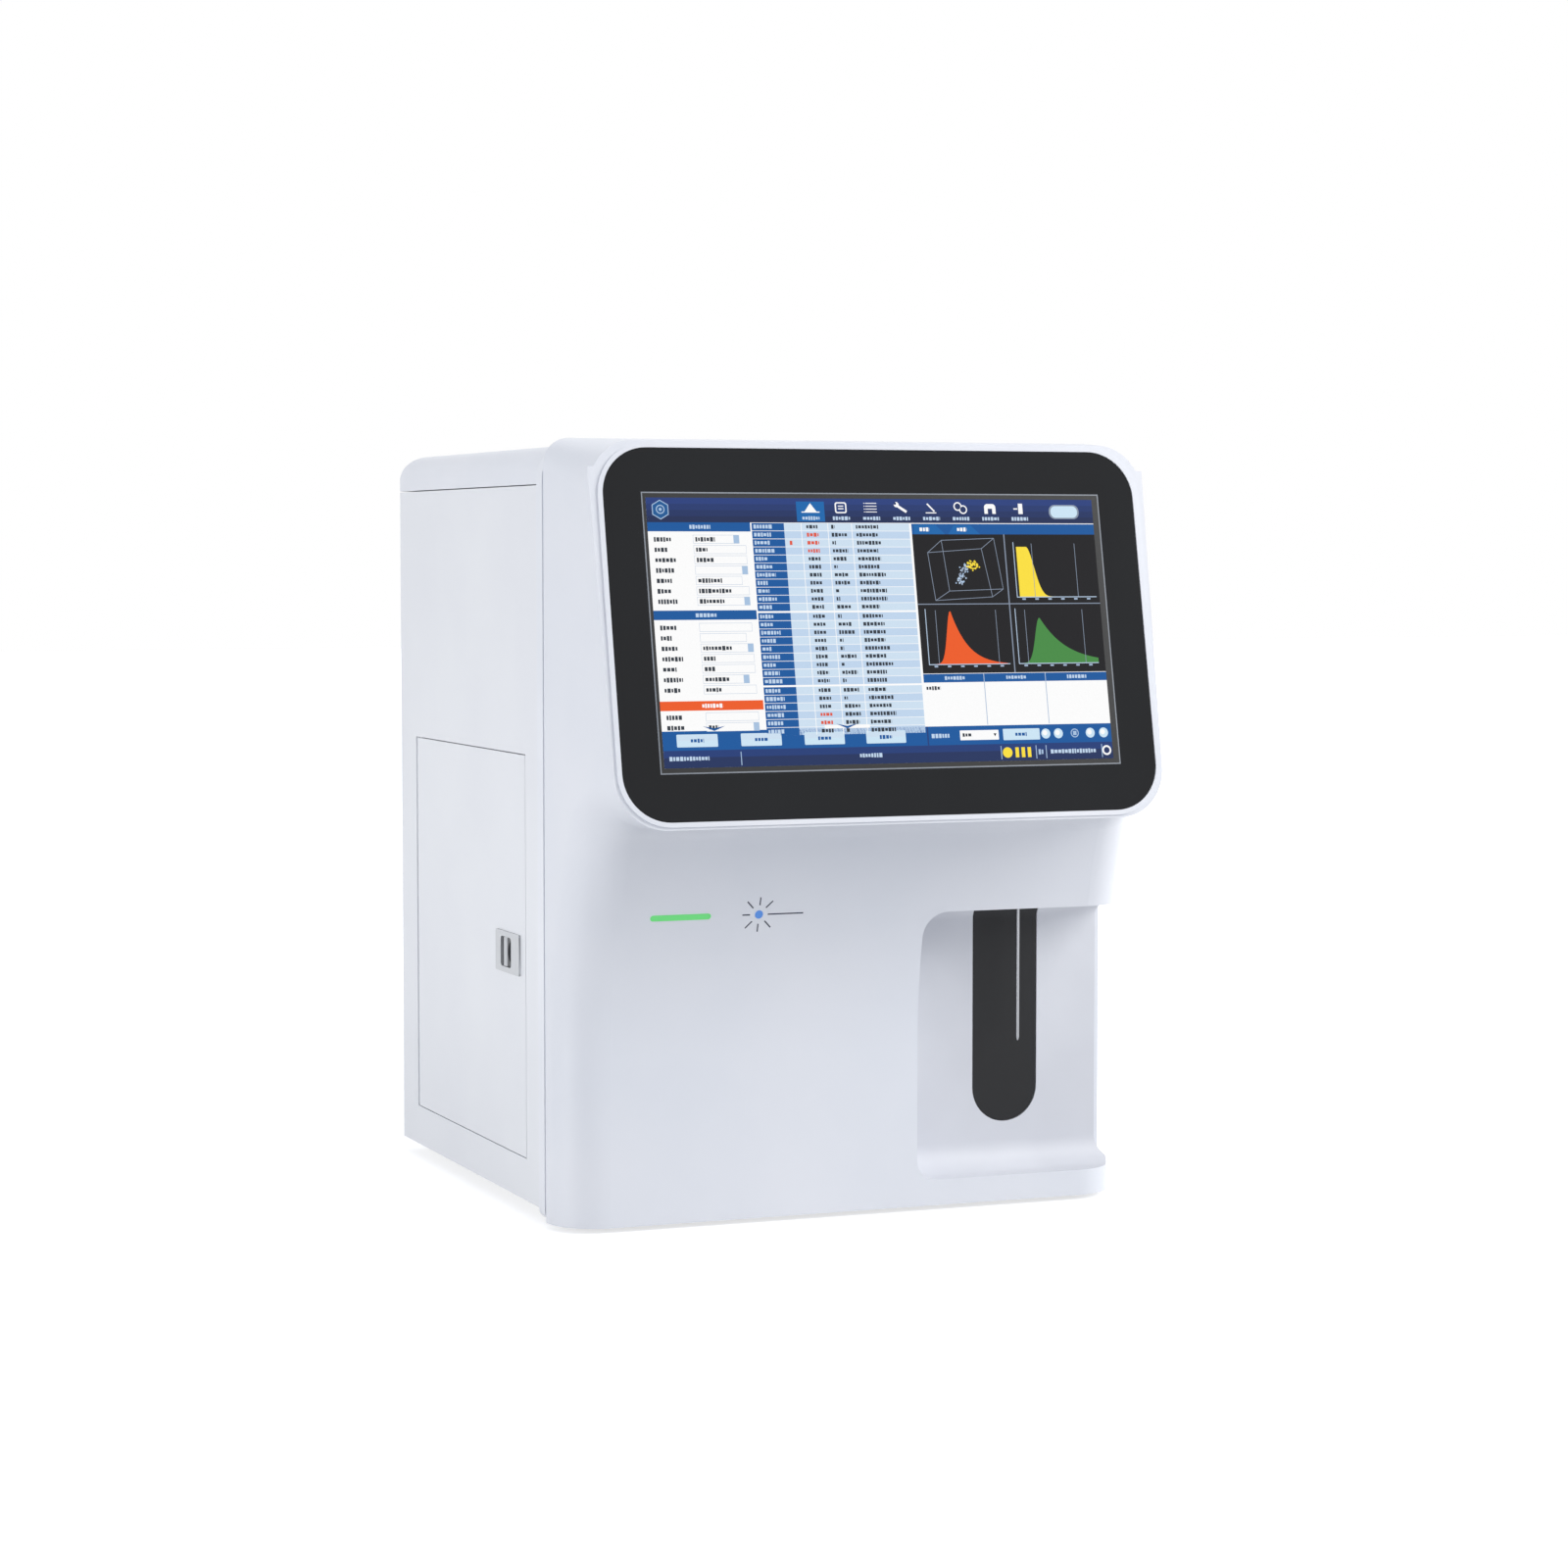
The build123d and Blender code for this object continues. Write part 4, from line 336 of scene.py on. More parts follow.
# A colour on the lit display, which glows under the clear, glossy cover glass
def displayInk(name, colour):
    material, tree = newMaterial("Display, " + name)
    pixels = lumps(tree, objectPlace(tree), inkLook["pixel"], Detail=0.0)
    settings = {
        "Base Color": inkLook["unlit"], "Emission Color": linear(colour),
        "Roughness": inkLook["roughness"], "Specular IOR Level": inkLook["shine"],
    }
    low, high = inkLook["glow"] * inkLook["dim"], inkLook["glow"] * inkLook["bright"]
    finishMaterial(tree, settings, {"Emission Strength": between(tree, pixels, low, high)})
    return material


chance = Random(7)
markLook = {"narrow": 0.0035, "wide": 0.007, "gap": 0.0018, "rises": (0.75, 0.9, 1.0)}
pillSteps = 6


class Picture(Sheet):
    def bar(self, u0, v0, u1, v1, ink, layer):
        self.shape([(u0, v1), (u1, v1), (u1, v0), (u0, v0)], ink, layer)

    def pill(self, u0, v0, u1, v1, ink, layer, rounding=0.5):
        r = min((u1 - u0) * screen["aspect"], v1 - v0) * rounding
        wide = r / screen["aspect"]
        corners = []
        for cu, cv, start in ((u1, v1, 0), (u0, v1, 90), (u0, v0, 180), (u1, v0, 270)):
            inU = -wide if cu == u1 else wide
            inV = -r if cv == v1 else r
            for step in range(pillSteps + 1):
                a = radians(start + step * 90 / pillSteps)
                corners.append((cu + inU + wide * cos(a), cv + inV + r * sin(a)))
        self.shape(corners[::-1], ink, layer)

    def disc(self, u, v, r, ink, layer, sides=24, turn=0.0):
        turns = [radians(turn) + 2 * pi * i / sides for i in range(sides)]
        corners = [(u + r / screen["aspect"] * cos(a), v + r * sin(a)) for a in turns]
        self.shape(corners[::-1], ink, layer)

    def stroke(self, u0, v0, u1, v1, thick, ink, layer):
        wide, tall = (u1 - u0) * screen["aspect"], v1 - v0
        length = sqrt(wide * wide + tall * tall)
        du, dv = -tall / length * thick / 2 / screen["aspect"], wide / length * thick / 2
        corners = [(u0 + du, v0 + dv), (u1 + du, v1 + dv), (u1 - du, v1 - dv), (u0 - du, v0 - dv)]
        area = sum(a[0] * b[1] - b[0] * a[1] for a, b in zip(corners, corners[1:] + corners[:1]))
        self.shape(corners if area < 0 else corners[::-1], ink, layer)  # so that it faces outwards

    # A short row of small plain blocks where the display has a value or a word
    def marks(self, u, v, width, tall, ink, layer):
        at = u
        while at < u + width:
            block = chance.uniform(markLook["narrow"], markLook["wide"])
            rise = chance.choice(markLook["rises"]) * tall
            end = min(at + block, u + width)
            self.bar(at, v + (tall - rise) / 2, end, v + (tall + rise) / 2, ink, layer)
            at += block + markLook["gap"]


picture = Picture(onPicture, {name: displayInk(name, colour) for name, colour in inkHex.items()})

# The columns' and rows' edges, which many shapes share
layout = {
    "formRight": 0.222, "tableLeft": 0.225, "tableRight": 0.575, "plotLeft": 0.58,
    "bodyTop": 0.095, "plotTop": 0.135, "plotMiddle": 0.4, "plotLow": 0.665, "notesTop": 0.667,
    "notesLow": 0.862, "toolTop": 0.865, "statusTop": 0.936,
}

# Background and header, with a plain hexagon for a badge and the first icon's tab lit
header = {
    "bands": 4, "band": 0.023, "badge": 0.03, "firstIcon": 0.357, "iconPitch": 0.0675,
    "text": {"top": 0.068, "half": 0.019, "tall": 0.014},
}
picture.bar(0, 0, 1, 1, "white", 0)
for band in range(header["bands"]):
    picture.bar(0, header["band"] * band, 1, header["band"] * (band + 1), f"head{band + 1}", 1)
badgeRings = [
    {"v": 0.045, "r": 0.037, "ink": "mist", "sides": 6, "turn": 30},
    {"v": 0.045, "r": 0.033, "ink": "badge", "sides": 6, "turn": 30},
    {"v": 0.044, "r": 0.017, "ink": "mist"},
    {"v": 0.044, "r": 0.013, "ink": "badge"},
    {"v": 0.044, "r": 0.006, "ink": "mist"},
]
for layer, ring in enumerate(badgeRings, 2):
    picture.disc(header["badge"], layer=layer, **ring)
picture.bar(0.326, 0.012, 0.388, 0.088, "sky", 2)


def peakIcon(u):
    picture.shape([(u, 0.018), (u + 0.014, 0.052), (u - 0.014, 0.052)], "white", 3)
    picture.bar(u - 0.02, 0.050, u + 0.02, 0.054, "white", 3)


def pageIcon(u):
    picture.pill(u - 0.013, 0.014, u + 0.013, 0.056, "white", 3, 0.2)
    picture.pill(u - 0.010, 0.019, u + 0.010, 0.051, "navy", 4, 0.15)
    for v in (0.027, 0.037):
        picture.bar(u - 0.006, v, u + 0.006, v + 0.004, "white", 5)


def listIcon(u):
    for row in range(4):
        v = 0.016 + 0.011 * row
        picture.bar(u - 0.012, v, u + 0.013, v + 0.003, "white", 3)
        picture.bar(u - 0.016, v, u - 0.0135, v + 0.003, "white", 3)


def wrenchIcon(u):
    picture.stroke(u - 0.012, 0.022, u + 0.012, 0.050, 0.010, "white", 3)
    picture.disc(u - 0.010, 0.022, 0.010, "white", 3)
    picture.disc(u - 0.013, 0.018, 0.005, "head3", 4)


def leverIcon(u):
    picture.stroke(u - 0.008, 0.018, u + 0.008, 0.048, 0.006, "white", 3)
    picture.bar(u - 0.012, 0.051, u + 0.012, 0.055, "white", 3)


def linkIcon(u):
    for side in (-0.006, 0.006):
        picture.disc(u + side, 0.034 + side, 0.017, "white", 3)
        picture.disc(u + side, 0.034 + side, 0.012, "head3", 4)


def archIcon(u):
    picture.pill(u - 0.013, 0.018, u + 0.013, 0.044, "white", 3)
    picture.bar(u - 0.013, 0.036, u + 0.013, 0.044, "head3", 4)
    for left in (-0.013, 0.005):
        picture.bar(u + left, 0.034, u + left + 0.008, 0.056, "white", 5)


def doorIcon(u):
    picture.bar(u - 0.002, 0.016, u + 0.008, 0.056, "white", 3)
    picture.bar(u - 0.013, 0.034, u - 0.004, 0.039, "white", 3)


icons = [peakIcon, pageIcon, listIcon, wrenchIcon, leverIcon, linkIcon, archIcon, doorIcon]
for column, icon in enumerate(icons):
    u = header["firstIcon"] + header["iconPitch"] * column
    text = header["text"]
    picture.marks(u - text["half"], text["top"], 2 * text["half"], text["tall"], "pale", 3)
    icon(u)
picture.pill(0.898, 0.020, 0.968, 0.075, "grey", 2, 0.45)
picture.pill(0.902, 0.025, 0.964, 0.070, "button", 3, 0.45)

# Left form: three headed groups of labels and fields
formHeads = [
    {"top": 0.092, "low": 0.126, "textTop": 0.101, "back": "blue", "text": "pale"},
    {"top": 0.42, "low": 0.455, "textTop": 0.430, "back": "blue", "text": "pale"},
    {"top": 0.755, "low": 0.79, "textTop": 0.765, "back": "orange", "text": "white"},
]
for head in formHeads:
    picture.bar(0, head["top"], layout["formRight"], head["low"], head["back"], 1)
    picture.marks(0.09, head["textTop"], 0.045, 0.016, head["text"], 2)
field = {
    "groups": (0.147, 0.475), "rows": 7, "pitch": 0.0385, "lastRows": [0.806, 0.844],
    "name": 0.012, "nameTall": 0.018, "text": 0.101, "textTall": 0.017,
    "left": 0.096, "wide": 0.114, "short": 0.1, "up": 0.008, "down": 0.024,
    "edgeU": 0.0006, "edgeV": 0.0012, "button": 0.012,
    "shortEvery": 4, "buttonEvery": 3, "empty": (3, 7, 8, 14),
}
formRows = [start + field["pitch"] * row for start in field["groups"] for row in range(field["rows"])]
for i, v in enumerate(formRows + field["lastRows"]):
    picture.marks(field["name"], v, chance.uniform(0.022, 0.045), field["nameTall"], "ink", 2)
    right = field["left"] + (field["wide"] if i % field["shortEvery"] else field["short"])
    top, low = v - field["up"], v + field["down"]
    picture.bar(field["left"], top, right, low, "line", 1)
    left, right = field["left"] + field["edgeU"], right - field["edgeU"]
    top, low = top + field["edgeV"], low - field["edgeV"]
    picture.bar(left, top, right, low, "white", 2)
    if i % field["buttonEvery"] == 0:
        picture.bar(right - field["button"], top, right, low, "mist", 3)
    if i not in field["empty"]:
        picture.marks(field["text"], v, chance.uniform(0.02, 0.07), field["textTall"], "ink", 4)

# A chevron folds each long list shut
for u in (0.112, 0.402):
    picture.bar(u - 0.05, 0.852, u + 0.05, layout["toolTop"], "white", 3)
    picture.shape([(u - 0.024, 0.848), (u, 0.866), (u + 0.024, 0.848), (u, 0.856)], "blue", 4)

# Table of values, with a wider gap before two of its rows and some values in red
table = {
    "top": 0.094, "pitch": 0.0302, "line": 0.002, "gap": 0.005, "gapRows": (11, 20),
    "names": 0.296, "columns": (0.333, 0.392, 0.445), "column": 0.0015,
    "name": 0.229, "value": 0.345, "unit": 0.400, "range": 0.455, "textDown": 0.006, "textTall": 0.015,
    "valueWide": 0.026, "unitWides": (0.008, 0.03, 0.034), "redRows": (1, 2, 3, 23, 24),
    "flag": 0.306, "flagWide": 0.006, "flagTall": 0.016, "flagRow": 2,
}
v = table["top"]
row = 0
while v < layout["notesLow"]:
    if row in table["gapRows"]:
        v += table["gap"]
    low = v + table["pitch"] - table["line"]
    picture.bar(layout["tableLeft"], v, layout["tableRight"], low, "pale" if row % 2 else "paler", 1)
    picture.bar(layout["tableLeft"], v, table["names"], low, "blue", 2)
    for u in table["columns"]:
        picture.bar(u, v, u + table["column"], low, "white", 3)
    textTop, tall = v + table["textDown"], table["textTall"]
    valueInk = "red" if row in table["redRows"] else "ink"
    picture.marks(table["name"], textTop, chance.uniform(0.02, 0.042), tall, "pale", 4)
    picture.marks(table["value"], textTop, table["valueWide"], tall, valueInk, 4)
    if row == table["flagRow"]:
        picture.marks(table["flag"], textTop, table["flagWide"], table["flagTall"], "red", 4)
    picture.marks(table["unit"], textTop, chance.choice(table["unitWides"]), tall, "ink", 4)
    picture.marks(table["range"], textTop, chance.uniform(0.04, 0.06), tall, "ink", 4)
    v += table["pitch"]
    row += 1

# Plots on black, with a tab strip over them
plotLeft, plotTop, plotLow = layout["plotLeft"], layout["plotTop"], layout["plotLow"]
picture.bar(plotLeft, layout["bodyTop"], 1, plotTop, "blue", 1)
picture.shape([(0.585, plotTop), (0.585, 0.099), (0.635, 0.099), (0.655, plotTop)], "sky", 2)
picture.shape([(0.662, plotTop), (0.676, 0.101), (0.715, 0.101), (0.735, plotTop)], "sky", 2)
for u in (0.598, 0.683):
    picture.marks(u, 0.109, 0.022, 0.015, "white", 3)
picture.bar(plotLeft, plotTop, 1, plotLow, "black", 1)
picture.bar(0.788, plotTop, 0.7905, plotLow, "grey", 2)
picture.bar(plotLeft, layout["plotMiddle"], 1, 0.4035, "grey", 2)

# A wire cube with two clouds of cells in it
cube = {
    "near": [(0.612, 0.205), (0.735, 0.190), (0.752, 0.375), (0.622, 0.388)],
    "far": [(0.645, 0.158), (0.765, 0.150), (0.778, 0.345), (0.655, 0.352)],
    "wire": 0.0022,
}
cubeEdges = [pair for end in ("near", "far") for pair in zip(cube[end], cube[end][1:] + cube[end][:1])]
for a, b in cubeEdges + list(zip(cube["near"], cube["far"])):
    picture.stroke(*a, *b, cube["wire"], "grey", 2)
cells = {
    "size": 0.0035, "sides": 5, "inks": ("pale", "grey", "mist"),
    "long": {"count": 70, "u": 0.678, "v": 0.325, "right": 0.022, "up": 0.075, "spread": (0.004, 0.007)},
    "round": {"count": 45, "u": 0.712, "v": 0.253, "spread": (0.006, 0.008)},
}
cloud = cells["long"]
for cell in range(cloud["count"]):
    t = chance.random()
    u = cloud["u"] + cloud["right"] * t + chance.gauss(0, cloud["spread"][0])
    v = cloud["v"] - cloud["up"] * t + chance.gauss(0, cloud["spread"][1])
    picture.disc(u, v, cells["size"], chance.choice(cells["inks"]), 3, cells["sides"])
cloud = cells["round"]
for cell in range(cloud["count"]):
    u = cloud["u"] + chance.gauss(0, cloud["spread"][0])
    v = cloud["v"] + chance.gauss(0, cloud["spread"][1])
    picture.disc(u, v, cells["size"], "yellow", 4, cells["sides"])


# Each curve's height over its axis, for t from 0 to 1
def bell(t, peak, width):
    return exp(-((t - peak) / width) ** 2)


def plateauCurve(t):
    return 0.96 if t < 0.13 else bell(t, 0.13, 0.12) * 0.96


def sharpCurve(t):
    return bell(t, 0.3, 0.09) if t < 0.3 else max(0, exp(-(t - 0.3) * 5.2) - 0.02)


def tailedCurve(t):
    return bell(t, 0.28, 0.1) if t < 0.28 else max(0.05, exp(-(t - 0.28) * 3.2))


plots = {
    "yellow": {"left": 0.815, "right": 0.99, "axis": 0.375, "top": 0.175, "curve": plateauCurve},
    "orange": {"left": 0.60, "right": 0.775, "axis": 0.630, "top": 0.425, "curve": sharpCurve},
    "green": {"left": 0.805, "right": 0.985, "axis": 0.630, "top": 0.455, "curve": tailedCurve},
}
curveSteps = 60
for ink, plot in plots.items():
    points = []
    for i in range(curveSteps + 1):
        t = i / curveSteps
        u = plot["left"] + (plot["right"] - plot["left"]) * i / curveSteps
        points.append((u, plot["axis"] - (plot["axis"] - plot["top"]) * plot["curve"](t)))
    for a, b in zip(points, points[1:]):
        picture.shape([(a[0], plot["axis"]), (b[0], plot["axis"]), b, a], ink, 3)

# Axes with their ticks, and upright cursor lines
axis = {
    "length": 0.185, "across": 0.0016, "down": 0.003, "ticks": 6, "firstTick": 0.012, "pitch": 0.03,
    "tickWide": 0.008, "tickTop": 0.006, "tickLow": 0.012, "cursor": 0.0012,
}
for left, low, top in ((0.808, 0.375, 0.165), (0.595, 0.630, 0.420), (0.800, 0.630, 0.420)):
    picture.bar(left, top, left + axis["across"], low, "pale", 4)
    picture.bar(left, low, left + axis["length"], low + axis["down"], "pale", 4)
    for tick in range(axis["ticks"]):
        u = left + axis["firstTick"] + axis["pitch"] * tick
        picture.bar(u, low + axis["tickTop"], u + axis["tickWide"], low + axis["tickLow"], "line", 4)
cursors = {(0.17, 0.375): (0.850, 0.950), (0.425, 0.630): (0.618, 0.755, 0.822, 0.955)}
for (top, low), places in cursors.items():
    for u in places:
        picture.bar(u, top, u + axis["cursor"], low, "grey", 4)

# Notes under the plots
picture.bar(plotLeft, layout["notesTop"], 1, 0.699, "blue", 1)
for u in (0.716, 0.857):
    picture.bar(u, layout["notesTop"], u + 0.0018, layout["notesLow"], "line", 2)
for u in (0.628, 0.768, 0.908):
    picture.marks(u, 0.676, 0.045, 0.014, "pale", 3)
picture.marks(0.585, 0.713, 0.032, 0.015, "ink", 2)

# Toolbar with its buttons
picture.bar(0, layout["toolTop"], 1, layout["statusTop"], "blue", 1)
picture.bar(0.578, layout["toolTop"], 0.581, layout["statusTop"], "navy", 2)
button = {"top": 0.877, "low": 0.924, "wide": 0.088, "rounding": 0.08, "edge": 0.002, "text": 0.03}
for u in (0.030, 0.168, 0.306, 0.442):
    right = u + button["wide"]
    picture.pill(u, button["top"], right, button["low"], "button", 2, button["rounding"])
    picture.bar(u + button["edge"], 0.880, right - button["edge"], 0.900, "paler", 3)
    picture.marks(u + button["text"], 0.893, 0.028, 0.015, "blue", 4)
picture.marks(0.588, 0.893, 0.04, 0.016, "pale", 3)
picture.pill(0.652, 0.882, 0.740, 0.919, "white", 2, 0.06)
picture.marks(0.658, 0.892, 0.02, 0.015, "ink", 3)
picture.shape([(0.7315, 0.907), (0.735, 0.895), (0.728, 0.895)], "ink", 3)
picture.pill(0.750, 0.879, 0.834, 0.922, "button", 2, 0.08)
picture.marks(0.778, 0.893, 0.026, 0.015, "blue", 3)
for u in (0.850, 0.879, 0.953, 0.984):
    picture.disc(u - 0.002, 0.900, 0.019, "button", 2)
    picture.disc(u - 0.004, 0.897, 0.010, "white", 3)
for layer, (r, ink) in enumerate(((0.017, "mist"), (0.013, "blue")), 2):
    picture.disc(0.915, 0.900, r, ink, layer)
picture.bar(0.911, 0.892, 0.919, 0.908, "mist", 4)

# Status bar
picture.bar(0, layout["statusTop"], 1, 1, "navy", 1)
picture.bar(0, 0.962, 1, 1, "deep", 2)
picture.marks(0.012, 0.958, 0.085, 0.016, "pale", 3)
picture.marks(0.425, 0.960, 0.05, 0.016, "pale", 3)
for u in (0.165, 0.742, 0.822, 0.845, 0.974):
    picture.bar(u, 0.944, u + 0.0018, 0.994, "mist", 3)
picture.disc(0.757, 0.969, 0.020, "yellow", 3)
for u in (0.775, 0.789, 0.803):
    picture.bar(u, 0.950, u + 0.008, 0.988, "yellow", 3)
picture.marks(0.828, 0.958, 0.012, 0.022, "mist", 3)
picture.marks(0.856, 0.960, 0.105, 0.017, "pale", 3)
picture.disc(0.986, 0.968, 0.019, "white", 3)
picture.disc(0.986, 0.968, 0.012, "head3", 4)
picture.newPiece("displayPicture", "housing", "display")

# The display's window in the glass: a dark step round the picture with a fine bright edge
window = Sheet(onGlass, {
    "edge": grainMaterial("Display window, bright edge", "#8E939B", "#7F858E", 0.3, 2.0, 0.005),
    "step": grainMaterial("Display window, dark step", "#17181B", "#131416", 0.3, 2.0, 0.005),
})
windowInsets = {"edge": 0, "step": screen["windowLine"]}
for ink, inset in windowInsets.items():
    half, lift = screen["windowHalf"] - inset, screen[ink + "Lift"]
    low, high = screen["windowLow"] + inset, screen["windowHigh"] - inset
    window.shape([(-half, low), (half, low), (half, high), (-half, high)], ink, lift)
window.newPiece("displayWindow", "housing", "screen_black")
print("display picture:", len(picture.faces), "shapes")

# Rays printed round the blue lamp, following the cove; the one to the right is long
rays = {
    "lampX": -61.6, "lampZ": 178.2, "count": 8, "gap": 5.4, "length": 4.6, "slantMore": 0.9,
    "longTo": 27.0, "thick": 0.75, "steps": 6, "proud": 0.06,
    "faceY": -136.95, "coveStart": 100.0, "coveRadius": 275.0,
}


def onCove(x, z, layer):
    rise = max(0.0, z - rays["coveStart"])
    y = rays["faceY"] - rays["coveRadius"] + sqrt(rays["coveRadius"] ** 2 - rise ** 2)
    return Vector((x, y - rays["proud"], z)) * mm


raySheet = Sheet(onCove, {"navy": navyInk})
for ray in range(rays["count"]):
    a = 2 * pi * ray / rays["count"]
    near = rays["gap"]
    far = near + rays["length"] + (rays["slantMore"] if ray % 2 else 0) if ray else rays["longTo"]
    for k in range(rays["steps"]):
        corners = []
        for s, side in ((k, -1), (k + 1, -1), (k + 1, 1), (k, 1)):
            r = near + (far - near) * s / rays["steps"]
            x = rays["lampX"] + r * cos(a) - side * rays["thick"] / 2 * sin(a)
            z = rays["lampZ"] + r * sin(a) + side * rays["thick"] / 2 * cos(a)
            corners.append((x, z))
        raySheet.shape(corners, "navy")
raySheet.newPiece("lampRays", "housing", "screen_black")
print("lamp rays drawn")

# Bottle labels: a laminated sheet with a coloured band, a drop and a level scale, and no words
bottleLabel = {
    "face": -152.9, "rows": {"blue": -29.7, "teal": 48.3, "amber": 126.3}, "half": 22.5,
    "low": 34.0, "high": 118.0, "lift": 0.12, "layer": 0.05, "band": 20.0, "stripe": 6.0,
    "dropUp": 6.5, "dropRadius": 4.6, "dropTip": 2.1, "dropFrom": 35, "dropSweep": 250, "dropSteps": 24,
    "lines": (26, 31, 22, 29, 17), "linePitch": 5.2, "lineThick": 1.5, "lineDown": 6, "lineIn": 5,
    "ticks": 6, "tickPitch": 5.0, "tickThick": 0.8, "tickUp": 10, "tickLong": 12, "tickShort": 9,
    "tickIn": 4,
}


# A label lies on the door side of its bottle, with its place along the row and its height in mm
def onLabel(along, up, layer):
    out = bottleLabel["face"] - bottleLabel["lift"] - layer * bottleLabel["layer"]
    return Vector((out, along, up)) * mm


labels = Sheet(onLabel, {
    "paper": labelPaper, "blue": labelBlue, "teal": labelTeal, "amber": labelAmber, "navy": navyInk,
})


def labelBar(near, low, far, high, ink, layer):
    labels.shape([(far, low), (near, low), (near, high), (far, high)], ink, layer)


# A drop has a round foot under a pointed top
def labelDrop(along, up, ink, layer):
    radius = bottleLabel["dropRadius"]
    corners = [(along, up + bottleLabel["dropTip"] * radius)]
    for step in range(bottleLabel["dropSteps"] + 1):
        a = radians(bottleLabel["dropFrom"] - step * bottleLabel["dropSweep"] / bottleLabel["dropSteps"])
        corners.append((along + radius * cos(a), up + radius * sin(a)))
    labels.shape(corners, ink, layer)


for bottle, (band, row) in enumerate(bottleLabel["rows"].items()):
    near, far = row - bottleLabel["half"], row + bottleLabel["half"]
    low, high = bottleLabel["low"], bottleLabel["high"]
    bandLow = high - bottleLabel["band"]
    labelBar(near, low, far, high, "paper", 0)
    labelBar(near, bandLow, far, high, band, 1)
    labelBar(near, low, far, low + bottleLabel["stripe"], band, 1)
    labelDrop(row, bandLow + bottleLabel["dropUp"], "paper", 2)
    lines = bottleLabel["lines"]
    for line in range(len(lines)):
        top = bandLow - bottleLabel["lineDown"] - bottleLabel["linePitch"] * line
        left = near + bottleLabel["lineIn"]
        right = left + lines[(line + bottle) % len(lines)]
        labelBar(left, top - bottleLabel["lineThick"], right, top, "navy", 1)
    for tick in range(bottleLabel["ticks"]):
        level = low + bottleLabel["tickUp"] + bottleLabel["tickPitch"] * tick
        left = far - (bottleLabel["tickShort"] if tick % 2 else bottleLabel["tickLong"])
        labelBar(left, level, far - bottleLabel["tickIn"], level + bottleLabel["tickThick"], "navy", 1)
labels.newPiece("bottleLabels", "housing", "bottle_plastic")
print("bottle labels drawn")


# Another finish for those faces of a CAD node that a test on their middle (mm), normal and corners picks
def faceFinish(nodeName, material, chosen):
    mesh = nodes[nodeName].data
    mesh.materials.append(material)
    place = nodes[nodeName].matrix_world
    spots = [place @ vertex.co / mm for vertex in mesh.vertices]
    for face in mesh.polygons:
        if chosen(place @ face.center / mm, face.normal, [spots[i] for i in face.vertices]):
            face.material_index = len(mesh.materials) - 1


# The board's parts: what stands up from it is a black chip, and what stands up far a white connector
boardParts = {"chip": 2.1, "connector": 9.6}
chipBlack = grainMaterial("Epoxy, moulded chip", "#1C1D20", "#17181A", 0.42, 0.5, 0.01, IOR=1.55)
connectorWhite = grainMaterial("Nylon, moulded connector", "#E4E3DA", "#DAD8CE", 0.45, 0.6, 0.02, IOR=1.53)
board = nodes["main_board"]
boardBack = max((board.matrix_world @ vertex.co / mm).x for vertex in board.data.vertices)
for part, material in (("chip", chipBlack), ("connector", connectorWhite)):
    faceFinish(
        "main_board", material,
        lambda middle, normal, corners: boardBack - min(c.x for c in corners) > boardParts[part],
    )
print("board parts coloured")

# The sample bay's walls carry a deeper, rougher etch than the rest of the cover, and their greyer colour is
# painted shade in the recess
bay = {"left": 41.4, "low": 17.9, "high": 175.6, "front": -136.5, "back": -110.3}
etchedAbsWithPaintedShade = grainMaterial("ABS, moulded and etched, with painted shade", "#E0E2E8", "#D1D3DA", 0.5, 0.8, 0.03)
faceFinish(
    "front_cover", etchedAbsWithPaintedShade,
    lambda middle, normal, corners: middle.x > bay["left"] and bay["low"] < middle.z < bay["high"]
    and bay["front"] < middle.y < bay["back"],
)
print("sample bay etched")

# The latch: painted shade, a mid grey inside its pocket and a dark grey on the faces of the paddle's free
# edge
latch = {"pocketFrom": -173.0, "shadedEdgeFacing": -0.5}
pocketShade = grainMaterial("ABS, mid grey, painted pocket shade", "#8C8E91", "#9EA0A3", 0.45, 0.6, 0.02)
paddleEdgeShade = grainMaterial("ABS, dark grey, painted paddle edge shade", "#56585C", "#585A5E", 0.45, 0.6, 0.02)
faceFinish("latch_plate", pocketShade, lambda middle, normal, corners: middle.x > latch["pocketFrom"])
faceFinish("latch_paddle", paddleEdgeShade, lambda middle, normal, corners: normal.y < latch["shadedEdgeFacing"])
print("latch finished")

# Camera, in metres and degrees
cameraView = {
    "place": (-0.81808, -2.08077, 0.383), "pan": -21.77, "down": 3.61, "lens": 84.71, "sensor": 36,
    "reach": 100,
}
camera = bpy.data.cameras.new("camera")
camera.lens = cameraView["lens"]
camera.sensor_width = cameraView["sensor"]
camera.clip_end = cameraView["reach"]
cameraObject = bpy.data.objects.new("camera", camera)
cameraObject.location = cameraView["place"]
cameraObject.rotation_euler = (radians(90 - cameraView["down"]), 0, radians(cameraView["pan"]))
bpy.context.scene.collection.objects.link(cameraObject)
bpy.context.scene.camera = cameraObject


# 1 for what the camera sees, straight, off a glossy surface or through a clear one, and 0 for the rest
def seenShare(tree):
    ray = addNode(tree, "ShaderNodeLightPath")
    seen = ray.outputs["Is Camera Ray"]
    for kind in ("Is Glossy Ray", "Is Transmission Ray"):
        either = addNode(tree, "ShaderNodeMath", {"operation": "MAXIMUM"}, {0: seen, 1: ray.outputs[kind]})
        seen = either.outputs[0]
    return seen


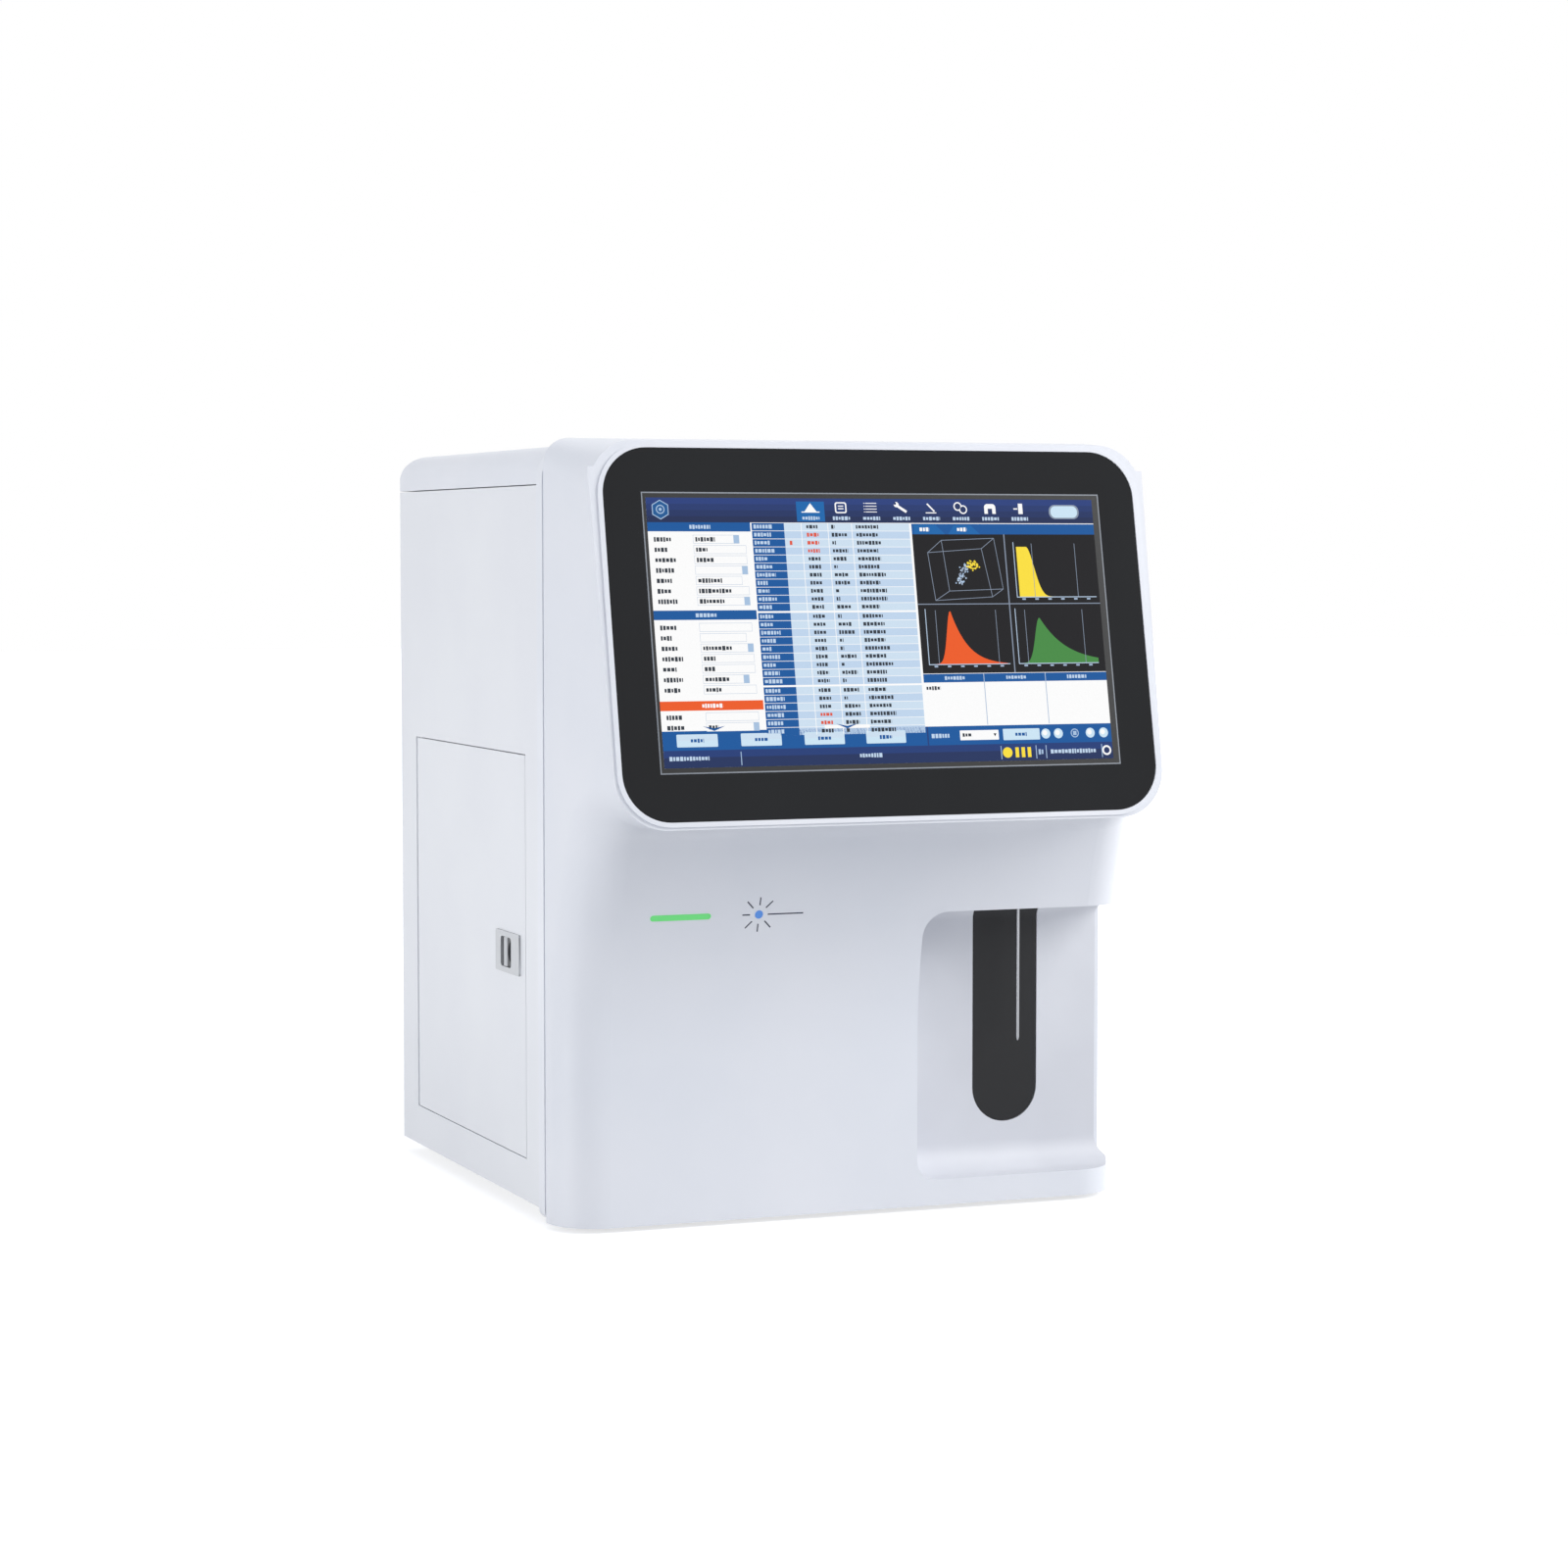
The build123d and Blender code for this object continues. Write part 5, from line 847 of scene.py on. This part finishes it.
# The floor takes the object's shadow, and what the camera sees of it is lifted to white away from it
floorLook = {
    "half": 12.0, "colour": "#CFD0D2", "smooth": 0.85, "rough": 0.95, "shine": 0.1, "cloud": 500,
    "near": 0.45, "far": 1.5, "liftNear": 0.66, "liftFar": 1.0,
}
floorMaterial, tree = newMaterial("Floor, matt white paint")
place = objectPlace(tree)
rough = between(tree, lumps(tree, place, floorLook["cloud"]), floorLook["smooth"], floorLook["rough"])
paint = addNode(
    tree, "ShaderNodeBsdfPrincipled",
    {"Base Color": linear(floorLook["colour"]), "Specular IOR Level": floorLook["shine"]},
    {"Roughness": rough},
)
away = addNode(tree, "ShaderNodeVectorMath", {"operation": "LENGTH"}, {0: place})
lift = addNode(
    tree, "ShaderNodeMapRange",
    {
        "interpolation_type": "SMOOTHSTEP", "From Min": floorLook["near"], "From Max": floorLook["far"],
        "To Min": floorLook["liftNear"], "To Max": floorLook["liftFar"],
    },
    {"Value": away.outputs["Value"]},
)
strength = addNode(
    tree, "ShaderNodeMath", {"operation": "MULTIPLY"}, {0: seenShare(tree), 1: lift.outputs[0]}
)
shine = addNode(tree, "ShaderNodeEmission", {"Color": (1, 1, 1, 1)}, {"Strength": strength.outputs[0]})
both = addNode(tree, "ShaderNodeAddShader", None, {0: paint.outputs[0], 1: shine.outputs[0]})
addNode(tree, "ShaderNodeOutputMaterial", None, {"Surface": both.outputs[0]})
half = floorLook["half"]
floorMesh = bpy.data.meshes.new("floor")
floorCorners = [(-half, -half, 0), (half, -half, 0), (half, half, 0), (-half, half, 0)]
floorMesh.from_pydata(floorCorners, [], [[0, 1, 2, 3]])
floorMesh.materials.append(floorMaterial)
floor = bpy.data.objects.new("floor", floorMesh)
bpy.context.scene.collection.objects.link(floor)

# The world lights with a soft, slightly cool sky, and is white where it is seen
worldLook = {"colour": "#E2E6EF", "strength": 0.62, "seenStrength": 1.0}
world = bpy.data.worlds.new("studio")
bpy.context.scene.world = world
world.use_nodes = True
tree = world.node_tree
tree.nodes.clear()
soft = addNode(
    tree, "ShaderNodeBackground", {"Color": linear(worldLook["colour"]), "Strength": worldLook["strength"]}
)
white = addNode(
    tree, "ShaderNodeBackground", {"Color": (1, 1, 1, 1), "Strength": worldLook["seenStrength"]}
)
pick = addNode(
    tree, "ShaderNodeMixShader", None, {0: seenShare(tree), 1: soft.outputs[0], 2: white.outputs[0]}
)
addNode(tree, "ShaderNodeOutputWorld", None, {"Surface": pick.outputs[0]})

# Square lamps that all aim at the object's middle
lampAim = Vector((0, 0, 0.22))
lamps = {
    "left": {"place": (-2.9, -0.6, 0.5), "size": 1.2, "watts": 34, "colour": "#FFFEFB"},
    "frontRight": {"place": (2.65, -1.7, 2.1), "size": 2.4, "watts": 115, "colour": "#FFFEFB"},
    "topBack": {"place": (0.0, 2.1, 2.6), "size": 1.8, "watts": 12, "colour": "#FFFFFF"},
}
for name, lamp in lamps.items():
    light = bpy.data.lights.new(name, "AREA")
    light.energy = lamp["watts"]
    light.size = lamp["size"]
    light.color = linear(lamp["colour"])[:3]
    lightObject = bpy.data.objects.new(name, light)
    lightObject.location = lamp["place"]
    lightObject.rotation_euler = (lampAim - Vector(lamp["place"])).to_track_quat("-Z", "Y").to_euler()
    bpy.context.scene.collection.objects.link(lightObject)
bpy.context.scene.view_settings.view_transform = "Standard"
print("camera, floor and light set")
